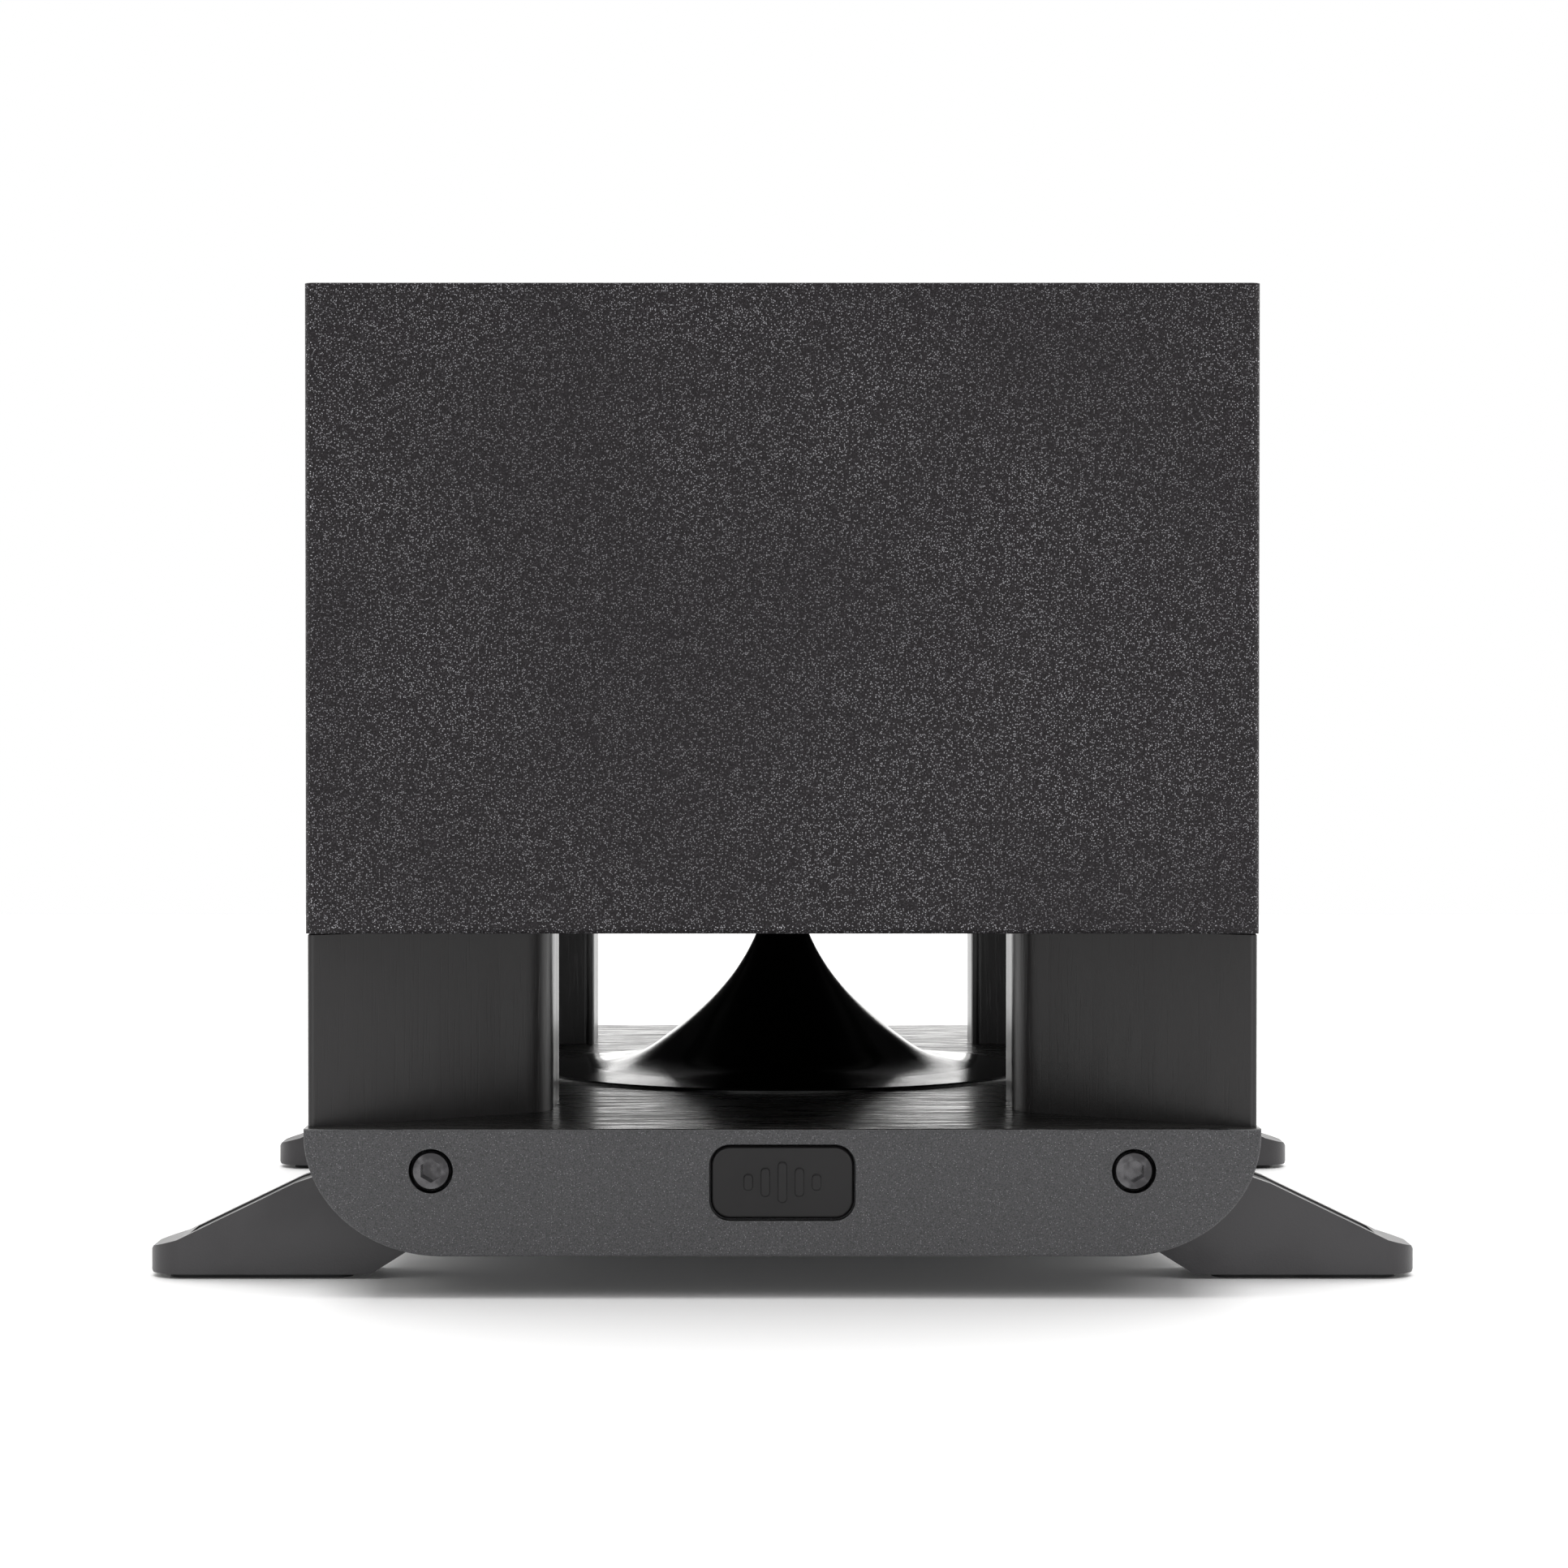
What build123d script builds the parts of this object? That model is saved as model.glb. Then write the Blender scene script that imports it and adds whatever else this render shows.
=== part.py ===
"""Compact loudspeaker: a sealed wooden cabinet with a downward-firing port, carried on four
swept pillars over a plinth slab with four outrigger feet. Millimetres, +Z up, the origin on the
floor at the middle of the overall box. The rear faces -Y and the grille faces +Y."""

from build123d import *
import math
import os

os.makedirs("parts", exist_ok=True)

# ---- driving dimensions: cabinet and plinth ------------------------------------------------
cabinet_width = 235.0
base_depth = 328.0            # rear face to the front of the baffle, and the slab's length
cabinet_height = 160.0
channel_height = 48.0         # air gap between the slab and the cabinet
slab_height = 31.5
slab_overhang = 0.5           # slab's side beyond the cabinet's
ground_clearance = 10.5
wall = 15.0                   # side, top, bottom and rear panels
baffle_thickness = 20.0
panel_edge_radius = 2.5
slab_corner_width = 34.0      # width of the slab's rounded lower edges
slab_lip = 1.5                # straight part of the slab's side above them
slab_edge_radius = 0.8
brace_thickness = 12.0
brace_rim = 13.0

# ---- driving dimensions: grille -------------------------------------------------------------
grille_stand = 14.0           # how far the grille stands proud of the baffle
grille_gap = 0.3              # clearance behind the grille frame
grille_margin = (4.0, 3.5)    # baffle left showing at the sides, and above and below
grille_rim = 11.0
grille_corner = 8.0
cloth_thickness = 1.0
catch_magnet = (5.0, 3.0)     # radius, thickness
catch_inset = 9.5             # magnet centre from the grille's edges

# ---- driving dimensions: pillars, port and diffuser ---------------------------------------------
pillar_setback = 3.5          # outer corner behind the slab's end
pillar_sweep_end = 43.0       # depth where the swept face reaches the inner face
pillar_inner = 59.5           # inner face from the middle
pillar_depth = 76.0           # depth of the flat back face
pillar_nose_radius = 14.0
pillar_heel_radius = 3.0
pillar_edge_radius = 1.2
bolt_shank = 3.0              # M6
bolt_head = (5.0, 6.0)        # radius, height
bolt_seat_radius = 5.5
bolt_socket = 2.9             # hex socket, centre to corner
port_radius = 32.0
port_wall = 3.0
port_top_gap = 40.0           # port's upper end below the top panel
flare_radius = 18.0
port_flange = (7.0, 3.0)      # width around the mouth, thickness
diffuser_flange_radius = 71.3
diffuser_rim = 0.9
diffuser_reach = 10.5         # how far the tip rises into the port's mouth
diffuser_wall = 3.0

# ---- driving dimensions: feet ---------------------------------------------------------------------
foot_width = 21.0
foot_depth = 44.4             # foot's centre line from the slab's end
foot_reach = 44.5             # how far the tip stands out from the slab's side
pad_thickness = 1.15
foot_tip_height = 6.6
foot_top = 26.3               # height of the arm's flat top beside the slab
foot_shoulder = (6.7, 24.5)   # where the slope starts: out from the slab's side, height
foot_toe = (7.6, 9.9)         # where the slope ends: back from the tip, height
foot_heel = 12.6              # sole's inner end, in from the slab's side
foot_tip_radius = 9.0
foot_root = (42.0, 18.0, 5.0)  # root block: in from the slab's side, from and to, and below its top
foot_bolt_inset = 31.4        # bolt axis in from the slab's side
foot_bolt_drop = 10.4         # bolt axis below the slab's top
foot_fit = 0.15               # clearance of the foot in its pocket
inlay_width = 14.0
inlay_sink = 1.7
inlay_cover = 0.5             # inlay's top below the foot's surface
inlay_end = 10.5              # end of the inlay's groove, back from the tip
pad_size = (47.0, 16.0)
badge_size = (35.3, 18.1, 2.6)
badge_radius = 4.8
badge_relief = 0.9              # height of the bars above the plate
badge_gap = 0.4
badge_drop = 13.2             # badge centre below the slab's top

# ---- driving dimensions: drivers -------------------------------------------------------------------
woofer_offset = -38.0
woofer_radius = 69.0
woofer_cutout = 59.5
tweeter_offset = 72.0
tweeter_radius = 34.0
tweeter_cutout = 26.0
rebate = 4.0                  # driver flanges are let in flush
fit = 0.3                     # running room around driver flanges
screw_shank = 1.7
screw_head = (3.2, 2.0)

# ---- driving dimensions: terminals and crossover --------------------------------------------------
cup_depth = 54.0              # cup's centre from the rear face
cup_well = (78.0, 48.0, 28.0)
cup_wall = 2.5
cup_flange = (7.0, 4.0)       # width around the well, thickness
post_spacing = 19.05
post_radius = 3.0
socket_radius = 2.0
socket_length = 18.0
board_size = (76.0, 48.0, 1.6)
board_lift = 6.0
lead_radius = 1.2

# ---- levels worked out from them ------------------------------------------------------------------------
y_rear = -(base_depth + grille_stand) / 2
y_front = y_rear + base_depth
y_mid = (y_rear + y_front) / 2
z_slab = ground_clearance
z_slab_top = z_slab + slab_height
z_cab = z_slab_top + channel_height
z_cab_top = z_cab + cabinet_height
z_floor = z_cab + wall
z_ceiling = z_cab_top - wall
z_drivers = (z_cab + z_cab_top) / 2
y_inside_rear = y_rear + wall
y_inside_front = y_front - baffle_thickness
half_width = cabinet_width / 2
half_inside = half_width - wall
half_slab = half_width + slab_overhang
inside_depth = y_inside_front - y_inside_rear
y_inside_mid = (y_inside_front + y_inside_rear) / 2
z_inside_mid = (z_floor + z_ceiling) / 2
inside_height = z_ceiling - z_floor
mid_plane = Plane.XZ.offset(-y_mid)
pillar_bolt = ((half_width + pillar_inner) / 2, foot_depth + foot_width / 2 + 11.1)
port_bore = port_radius + flare_radius + port_wall
port_flange_radius = port_bore + port_flange[0]

woofer_axis = Axis((woofer_offset, y_front, z_drivers), (0, 1, 0))
woofer_plane = Plane((woofer_offset, y_front, z_drivers))
woofer_face = Plane((woofer_offset, y_front, z_drivers), x_dir=(1, 0, 0), z_dir=(0, 1, 0))
tweeter_axis = Axis((tweeter_offset, y_front, z_drivers), (0, 1, 0))
tweeter_plane = Plane((tweeter_offset, y_front, z_drivers))
tweeter_face = Plane((tweeter_offset, y_front, z_drivers), x_dir=(1, 0, 0), z_dir=(0, 1, 0))
port_axis = Axis((0, y_mid, 0), (0, 0, 1))
port_plane = Plane((0, y_mid, 0), x_dir=(1, 0, 0), z_dir=(0, -1, 0))


def turned(plane, axis, points):
    """A ring or disc: the closed outline of (radius, place along the axis) turned about the axis."""
    with BuildPart() as body:
        with BuildSketch(plane):
            with BuildLine():
                Polyline(*points, close=True)
            make_face()
        revolve(axis=axis)
    return body


def copied(piece, left, front):
    """A copy of a rear right-hand piece, mirrored to the left side, the front end or both."""
    shape = piece.part
    if left:
        shape = mirror(shape, about=Plane.YZ)
    if front:
        shape = mirror(shape, about=mid_plane)
    with BuildPart() as copy:
        add(shape)
    return copy


def cap_bolt(length):
    """Socket cap screw along -Z, the underside of its head at the origin."""
    with BuildPart() as bolt:
        Cylinder(bolt_head[0], bolt_head[1], align=(Align.CENTER, Align.CENTER, Align.MIN))
        chamfer(bolt.edges().group_by(Axis.Z)[-1], 0.6)
        Cylinder(bolt_shank, length, align=(Align.CENTER, Align.CENTER, Align.MAX))
        with BuildSketch(Plane.XY.offset(bolt_head[1])):
            RegularPolygon(bolt_socket, 6, rotation=90)
        extrude(amount=-bolt_head[1] / 2, mode=Mode.SUBTRACT)
    return bolt


def wood_screw(length):
    """Pan-head wood screw along -Z, the underside of its head at the origin."""
    with BuildPart() as screw:
        Cylinder(screw_head[0], screw_head[1], align=(Align.CENTER, Align.CENTER, Align.MIN))
        fillet(screw.edges().group_by(Axis.Z)[-1], 0.8)
        Cylinder(screw_shank, length, align=(Align.CENTER, Align.CENTER, Align.MAX))
        chamfer(screw.edges().group_by(Axis.Z)[0], 1.0)
        with BuildSketch(Plane.XY.offset(screw_head[1])):
            Rectangle(3.4, 0.8)
            Rectangle(0.8, 3.4)
        extrude(amount=-0.9, mode=Mode.SUBTRACT)
    return screw


ends = [(False, False), (True, False), (False, True), (True, True)]
end_names = ["rear_right", "rear_left", "front_right", "front_left"]


# ---- cabinet panels --------------------------------------------------------------------------------------
# Left and right side panels stand between the rear panel and the baffle, which overlap their ends.
for name, side in (("cabinet_left_panel", -1), ("cabinet_right_panel", 1)):
    with BuildPart() as side_panel:
        with Locations((side * (half_width - wall / 2), y_inside_mid, z_drivers)):
            Box(wall, inside_depth, cabinet_height)
        lower_edge = side_panel.edges().filter_by(Axis.Y).group_by(Axis.Z)[0]
        fillet(lower_edge.sort_by(Axis.X)[-1 if side > 0 else 0], panel_edge_radius)
    side_panel.part.label = name
    export_step(side_panel.part, f"parts/{name}.step")

with BuildPart() as cabinet_top_panel:
    with Locations((0, y_inside_mid, z_cab_top - wall / 2)):
        Box(2 * half_inside, inside_depth, wall)
cabinet_top_panel.part.label = "cabinet_top_panel"
export_step(cabinet_top_panel.part, "parts/cabinet_top_panel.step")

# Bottom panel: bored for the port, cut out and rebated for the terminal cup, with bolt inserts.
y_cup = y_rear + cup_depth
cup_outer = (cup_well[0] + 2 * cup_wall, cup_well[1] + 2 * cup_wall)
cup_plate = (cup_outer[0] + 2 * cup_flange[0], cup_outer[1] + 2 * cup_flange[0])
bolt_bite = 12.0              # how far the pillar bolts run into the bottom panel
small_screw_length = 12.0
port_screw_circle = port_flange_radius - 4.5
cup_screw = (cup_plate[0] / 2 - 3.8, cup_plate[1] / 2 - 3.8)
board_x = half_inside - 42.0
board_y = y_inside_front - 14.0 - board_size[1] / 2
board_hole = (board_size[0] / 2 - 4.0, board_size[1] / 2 - 4.0)
pilot = screw_shank + 0.03
with BuildPart() as cabinet_bottom_panel:
    with Locations((0, y_inside_mid, z_cab + wall / 2)):
        Box(2 * half_inside, inside_depth, wall)
    with BuildSketch(Plane.XY.offset(z_cab)):
        with Locations((0, y_mid)):
            Circle(port_bore + fit)
        with Locations((0, y_cup)):
            RectangleRounded(cup_outer[0] + 2 * fit, cup_outer[1] + 2 * fit, 4.0)
    extrude(amount=wall, mode=Mode.SUBTRACT)
    with BuildSketch(Plane.XY.offset(z_cab)):
        with Locations((0, y_cup)):
            RectangleRounded(cup_plate[0] + 2 * fit, cup_plate[1] + 2 * fit, 6.0)
    extrude(amount=cup_flange[1], mode=Mode.SUBTRACT)
    with BuildSketch(Plane.XY.offset(z_cab)):
        for left, front in ends:
            x = -pillar_bolt[0] if left else pillar_bolt[0]
            y = y_front - pillar_bolt[1] if front else y_rear + pillar_bolt[1]
            with Locations((x, y)):
                Circle(bolt_shank + 0.05)
    extrude(amount=bolt_bite + 0.5, mode=Mode.SUBTRACT)
    with BuildSketch(Plane((0, y_mid, z_floor))):
        with PolarLocations(port_screw_circle, 4, start_angle=45):
            Circle(pilot)
    extrude(amount=-small_screw_length + port_flange[1] - 0.5, mode=Mode.SUBTRACT)
    with BuildSketch(Plane((board_x, board_y, z_floor))):
        with GridLocations(2 * board_hole[0], 2 * board_hole[1], 2, 2):
            Circle(pilot)
    extrude(amount=-small_screw_length + board_lift, mode=Mode.SUBTRACT)
    with BuildSketch(Plane((0, y_cup, z_cab))):
        with GridLocations(2 * cup_screw[0], 2 * cup_screw[1], 2, 2):
            Circle(pilot)
    extrude(amount=small_screw_length + screw_head[1] + 0.5, mode=Mode.SUBTRACT)
cabinet_bottom_panel.part.label = "cabinet_bottom_panel"
export_step(cabinet_bottom_panel.part, "parts/cabinet_bottom_panel.step")

with BuildPart() as rear_panel:
    with Locations((0, y_rear + wall / 2, z_drivers)):
        Box(cabinet_width, wall, cabinet_height)
    outer_face = rear_panel.faces().sort_by(Axis.Y)[0]
    long_edges = outer_face.edges().filter_by(Axis.Z) + outer_face.edges().group_by(Axis.Z)[0]
    fillet(long_edges, panel_edge_radius)
rear_panel.part.label = "rear_panel"
export_step(rear_panel.part, "parts/rear_panel.step")

# Front baffle: stepped holes for both drivers and four blind holes for the catch magnets.
grille_half = (half_width - grille_margin[0], cabinet_height / 2 - grille_margin[1])
catch_places = [
    (x * (grille_half[0] - catch_inset), z_drivers + z * (grille_half[1] - catch_inset))
    for x in (-1, 1)
    for z in (-1, 1)
]
woofer_screw_circle = 64.8
woofer_screw_count = 6
tweeter_screw_circle = 29.8
tweeter_screw_count = 4
driver_screw_length = 16.0
front_face = Plane((0, y_front, 0), x_dir=(-1, 0, 0), z_dir=(0, 1, 0))
with BuildPart() as front_baffle:
    with Locations((0, y_front - baffle_thickness / 2, z_drivers)):
        Box(cabinet_width, baffle_thickness, cabinet_height)
    outer_face = front_baffle.faces().sort_by(Axis.Y)[-1]
    fillet(outer_face.edges(), panel_edge_radius)
    for face, cutout, flange in (
        (woofer_face, woofer_cutout, woofer_radius),
        (tweeter_face, tweeter_cutout, tweeter_radius),
    ):
        with BuildSketch(face):
            Circle(flange + fit)
        extrude(amount=-rebate, mode=Mode.SUBTRACT)
        with BuildSketch(face):
            Circle(cutout)
        extrude(amount=-baffle_thickness, mode=Mode.SUBTRACT)
    for face, circle, count in (
        (woofer_face, woofer_screw_circle, woofer_screw_count),
        (tweeter_face, tweeter_screw_circle, tweeter_screw_count),
    ):
        with BuildSketch(face):
            with PolarLocations(circle, count, start_angle=45):
                Circle(screw_shank + 0.03)
        extrude(amount=-driver_screw_length, mode=Mode.SUBTRACT)
    with BuildSketch(front_face):
        with Locations(*[(-x, z) for x, z in catch_places]):
            Circle(catch_magnet[0] + 0.05)
    extrude(amount=-catch_magnet[1], mode=Mode.SUBTRACT)
front_baffle.part.label = "front_baffle"
export_step(front_baffle.part, "parts/front_baffle.step")

# Window brace across the cabinet, between the woofer's magnet and the port.
board_rear = board_y - board_size[1] / 2
y_brace = (y_mid + port_flange_radius + board_rear - brace_thickness) / 2
with BuildPart() as inner_brace:
    with Locations((0, y_brace + brace_thickness / 2, z_inside_mid)):
        Box(2 * half_inside, brace_thickness, inside_height)
    window = ((2 * half_inside - 3 * brace_rim) / 2, inside_height - 2 * brace_rim)
    with BuildSketch(Plane((0, y_brace, z_inside_mid), x_dir=(1, 0, 0), z_dir=(0, -1, 0))):
        with GridLocations(window[0] + brace_rim, 0, 2, 1):
            RectangleRounded(window[0], window[1], 14.0)
    extrude(amount=-brace_thickness, mode=Mode.SUBTRACT)
inner_brace.part.label = "inner_brace"
export_step(inner_brace.part, "parts/inner_brace.step")

# Damping wadding: one pad on the rear panel above the terminals, one on each side panel.
wadding_thickness = 16.0
wadding_gap = 0.3
cup_top = z_cab + cup_well[2] + cup_wall
with BuildPart() as wadding_rear:
    low = cup_top + 9.0
    high = z_ceiling - 4.0
    with Locations((0, y_inside_rear + wadding_gap + wadding_thickness / 2, (low + high) / 2)):
        Box(2 * half_inside - 8.0, wadding_thickness, high - low)
    fillet(wadding_rear.edges().filter_by(Axis.Y), 8.0)
wadding_rear.part.label = "wadding_rear"
export_step(wadding_rear.part, "parts/wadding_rear.step")

with BuildPart() as wadding_sides:
    start = y_inside_rear + wadding_thickness + 8.0
    stop = y_brace - 8.0
    for side in (-1, 1):
        x = side * (half_inside - wadding_gap - wadding_thickness / 2)
        with Locations((x, (start + stop) / 2, z_inside_mid)):
            Box(wadding_thickness, stop - start, inside_height - 24.0)
    fillet(wadding_sides.edges().filter_by(Axis.X), 8.0)
wadding_sides.part.label = "wadding_sides"
export_step(wadding_sides.part, "parts/wadding_sides.step")

# ---- port ---------------------------------------------------------------------------------------------------
# One moulding: a flared mouth let into the bottom panel, a flange on the panel and the tube.
port_outer = port_radius + port_wall
z_port_top = z_ceiling - port_top_gap
z_throat = z_cab + flare_radius
with BuildPart() as port_tube:
    with BuildSketch(port_plane):
        with BuildLine():
            mouth = port_radius + flare_radius
            l1 = Line((port_radius, z_port_top), (port_radius, z_throat))
            l2 = RadiusArc((port_radius, z_throat), (mouth, z_cab), flare_radius)
            l3 = Polyline(
                (mouth, z_cab),
                (port_bore, z_cab),
                (port_bore, z_floor),
                (port_flange_radius, z_floor),
                (port_flange_radius, z_floor + port_flange[1]),
                (port_bore, z_floor + port_flange[1]),
                (port_outer, z_throat + 4.0),
                (port_outer, z_port_top),
                (port_radius, z_port_top),
            )
        make_face()
    revolve(axis=port_axis)
    with BuildSketch(Plane((0, y_mid, z_floor))):
        with PolarLocations(port_screw_circle, 4, start_angle=45):
            Circle(pilot)
    extrude(amount=port_flange[1] + 6.0, mode=Mode.SUBTRACT)
port_tube.part.label = "port_tube"
export_step(port_tube.part, "parts/port_tube.step")

# ---- diffuser -----------------------------------------------------------------------------------------------
# Hollow trumpet-shaped cone on the slab, its tip in the port's mouth, on three screw bosses.
boss_circle = 24.0
boss_radius = 4.5
boss_height = 12.0
z_tip = z_slab_top + channel_height + diffuser_reach
with BuildPart() as port_diffuser_cone:
    with BuildSketch(port_plane):
        with BuildLine():
            shoulder = (3.2, z_tip - 3.2)
            skirt = (diffuser_flange_radius - 15.0, z_slab_top + 1.9)
            ThreePointArc((0, z_tip), (2.1, z_tip - 0.9), shoulder)
            Spline(
                shoulder,
                (8.05, z_slab_top + 0.81 * channel_height),
                (20.0, z_slab_top + 0.45 * channel_height),
                (34.3, z_slab_top + 0.2 * channel_height),
                skirt,
                tangents=((0.18, -1), (1, -0.08)),
            )
            Polyline(
                skirt,
                (diffuser_flange_radius - 0.7, z_slab_top + diffuser_rim),
                (diffuser_flange_radius, z_slab_top + diffuser_rim - 0.5),
                (diffuser_flange_radius, z_slab_top),
                (0, z_slab_top),
                (0, z_tip),
            )
        make_face()
    revolve(axis=port_axis)
    with BuildSketch(port_plane):
        with BuildLine():
            crown = (4.0, z_slab_top + 0.69 * channel_height)
            hem = (46.0, z_slab_top + 1.2)
            Spline(
                crown,
                (14.0, z_slab_top + 0.46 * channel_height),
                (28.0, z_slab_top + 0.2 * channel_height),
                hem,
            )
            Polyline(hem, (hem[0], z_slab_top), (0, z_slab_top), (0, crown[1]), crown)
        make_face()
    revolve(axis=port_axis, mode=Mode.SUBTRACT)
    for radius, height, mode in (
        (boss_radius, boss_height, Mode.ADD),
        (pilot, boss_height - 2.0, Mode.SUBTRACT),
    ):
        with BuildSketch(Plane((0, y_mid, z_slab_top))):
            with PolarLocations(boss_circle, 3, start_angle=90):
                Circle(radius)
        extrude(amount=height, mode=mode)
port_diffuser_cone.part.label = "port_diffuser_cone"
export_step(port_diffuser_cone.part, "parts/port_diffuser_cone.step")

# ---- feet ------------------------------------------------------------------------------------------------------
# Outrigger: a root block in the slab's underside, an arm under its rounded edge, a sloping top.
x_tip = half_slab + foot_reach
shoulder = (half_slab + foot_shoulder[0], foot_shoulder[1])
toe = (x_tip - foot_toe[0], foot_toe[1])
x_knee = half_slab + 1.5
y_foot = y_rear + foot_depth
foot_plane = Plane((0, y_foot, 0), x_dir=(1, 0, 0), z_dir=(0, -1, 0))
foot_bolt_x = half_slab - foot_bolt_inset
foot_bolt_z = z_slab_top - foot_bolt_drop
root_inner = half_slab - foot_root[0]
root_outer = half_slab - foot_root[1]
z_root = z_slab_top - foot_root[2]
slope = math.atan2(shoulder[1] - toe[1], toe[0] - shoulder[0])


def foot_block(clearance):
    """The foot's outline from the end, as a block: grown by a clearance, it cuts the pocket."""
    with BuildPart() as block:
        with BuildSketch(foot_plane):
            with BuildLine():
                Polyline(
                    (root_inner, z_root),
                    (root_outer, z_root),
                    (root_outer, foot_top + 1.2),
                    (x_knee, foot_top),
                    shoulder,
                    toe,
                    (x_tip - 1.0, foot_tip_height + 1.4),
                    (x_tip, foot_tip_height),
                    (x_tip, pad_thickness + 0.8),
                    (x_tip - 0.8, pad_thickness),
                    (half_slab - foot_heel, pad_thickness),
                    (half_slab - foot_heel - 14.9, z_slab),
                    (root_inner, z_slab),
                    close=True,
                )
            make_face()
            if clearance:
                offset(amount=clearance)
        extrude(amount=foot_width / 2 + clearance, both=True)
    return block.part


def foot_band(lower, upper, width):
    """Band along the foot's top, between two depths below its surface."""
    stop = x_tip - inlay_end
    start = half_slab - 1.0
    drop = shoulder[1] - (stop - shoulder[0]) * math.tan(slope)
    with BuildPart() as band:
        with BuildSketch(foot_plane):
            with BuildLine():
                Polyline(
                    (start, foot_top - lower),
                    (x_knee, foot_top - lower),
                    (shoulder[0], shoulder[1] - lower),
                    (stop, drop - lower),
                    (stop, drop - upper),
                    (shoulder[0], shoulder[1] - upper),
                    (x_knee, foot_top - upper),
                    (start, foot_top - upper),
                    close=True,
                )
            make_face()
        extrude(amount=width / 2, both=True)
    return band.part


with BuildPart() as foot:
    add(foot_block(0))
    with BuildSketch(Plane((0, y_foot, 0))):
        with Locations((root_inner, 0)):
            Rectangle(x_tip - root_inner, foot_width, align=(Align.MIN, Align.CENTER))
        with Locations((root_inner - foot_tip_radius, 0)):
            RectangleRounded(
                x_tip - root_inner + foot_tip_radius,
                foot_width,
                foot_tip_radius,
                align=(Align.MIN, Align.CENTER),
                mode=Mode.INTERSECT,
            )
    extrude(amount=z_slab_top, mode=Mode.INTERSECT)
    add(foot_band(inlay_sink, -1.0, inlay_width), mode=Mode.SUBTRACT)
    with Locations(Plane((foot_bolt_x, y_foot, foot_bolt_z), z_dir=(0, 1, 0)).location):
        Cylinder(bolt_shank + 0.05, 2 * foot_width, mode=Mode.SUBTRACT)

with BuildPart() as inlay:
    add(foot_band(inlay_sink, inlay_cover, inlay_width - 0.2))

with BuildPart() as pad:
    with BuildSketch(Plane((half_slab - foot_heel + 5.0 + pad_size[0] / 2, y_foot, 0))):
        RectangleRounded(pad_size[0], pad_size[1], 4.0)
    extrude(amount=pad_thickness)

for name, (left, front) in zip(end_names, ends):
    placed_foot = copied(foot, left, front)
    placed_foot.part.label = f"foot_{name}"
    export_step(placed_foot.part, f"parts/foot_{name}.step")

for name, piece in (("foot_inlays", inlay), ("foot_pads", pad)):
    copies = [copied(piece, left, front).part for left, front in ends]
    with BuildPart() as group:
        add(copies)
    group.part.label = name
    export_step(group.part, f"parts/{name}.step")

bolt_seat_depth = bolt_head[1] + 0.5
foot_bolt_length = foot_depth + foot_width / 2 - bolt_seat_depth
seat = Plane((foot_bolt_x, y_rear + bolt_seat_depth, foot_bolt_z), x_dir=(1, 0, 0), z_dir=(0, -1, 0))
long_bolt = cap_bolt(foot_bolt_length).part
with BuildPart() as foot_bolt:
    with Locations(seat.location):
        add(long_bolt)
copies = [copied(foot_bolt, left, front).part for left, front in ends]
with BuildPart() as foot_bolts:
    add(copies)
foot_bolts.part.label = "foot_bolts"
export_step(foot_bolts.part, "parts/foot_bolts.step")

# ---- plinth slab ------------------------------------------------------------------------------------------------
# Long lower edges rounded, pockets for the feet, seats for every bolt and a recess for the badge.
y_pillar_bolt = y_rear + pillar_bolt[1]
with BuildPart() as foot_pocket:
    add(foot_block(foot_fit))
with BuildPart() as foot_bolt_hole:
    with Locations(seat.location):
        Cylinder(bolt_seat_radius, 2 * bolt_seat_depth, align=(Align.CENTER, Align.CENTER, Align.MIN))
        Cylinder(bolt_shank + 0.2, foot_bolt_length + 1.0, align=(Align.CENTER, Align.CENTER, Align.MAX))
with BuildPart() as pillar_bolt_hole:
    with Locations((pillar_bolt[0], y_pillar_bolt, z_slab + bolt_seat_depth)):
        Cylinder(bolt_shank + 0.2, slab_height, align=(Align.CENTER, Align.CENTER, Align.MIN))
        Cylinder(bolt_seat_radius, 2 * bolt_seat_depth, align=(Align.CENTER, Align.CENTER, Align.MAX))

diffuser_screw_seat = 5.0     # depth of the screw seats in the slab's underside
cutters = [
    copied(cutter, left, front).part
    for cutter in (foot_pocket, foot_bolt_hole, pillar_bolt_hole)
    for left, front in ends
]
with BuildPart() as plinth_slab:
    with BuildSketch(mid_plane):
        with BuildLine():
            corner_height = slab_height - slab_lip
            centre = (half_slab - slab_corner_width, z_slab + corner_height)
            Line((0, z_slab), (centre[0], z_slab))
            EllipticalCenterArc(centre, slab_corner_width, corner_height, start_angle=270, arc_size=90)
            Line((half_slab, centre[1]), (half_slab, z_slab_top))
            Line((half_slab, z_slab_top), (0, z_slab_top))
            mirror(about=Plane.YZ)
        make_face()
    extrude(amount=base_depth / 2, both=True)
    end_edges = plinth_slab.faces().filter_by(Axis.Y).edges()
    fillet(end_edges, slab_edge_radius)
    add(cutters, mode=Mode.SUBTRACT)
    for radius, height in (
        (screw_shank + 0.2, slab_height),
        (screw_head[0] + 0.8, diffuser_screw_seat),
    ):
        with BuildSketch(Plane((0, y_mid, z_slab))):
            with PolarLocations(boss_circle, 3, start_angle=90):
                Circle(radius)
        extrude(amount=height, mode=Mode.SUBTRACT)
    badge_face = Plane((0, y_rear, z_slab_top - badge_drop), x_dir=(1, 0, 0), z_dir=(0, -1, 0))
    with BuildSketch(badge_face):
        RectangleRounded(
            badge_size[0] + 2 * badge_gap,
            badge_size[1] + 2 * badge_gap,
            badge_radius + badge_gap,
        )
    extrude(amount=-badge_size[2], mode=Mode.SUBTRACT)
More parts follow.
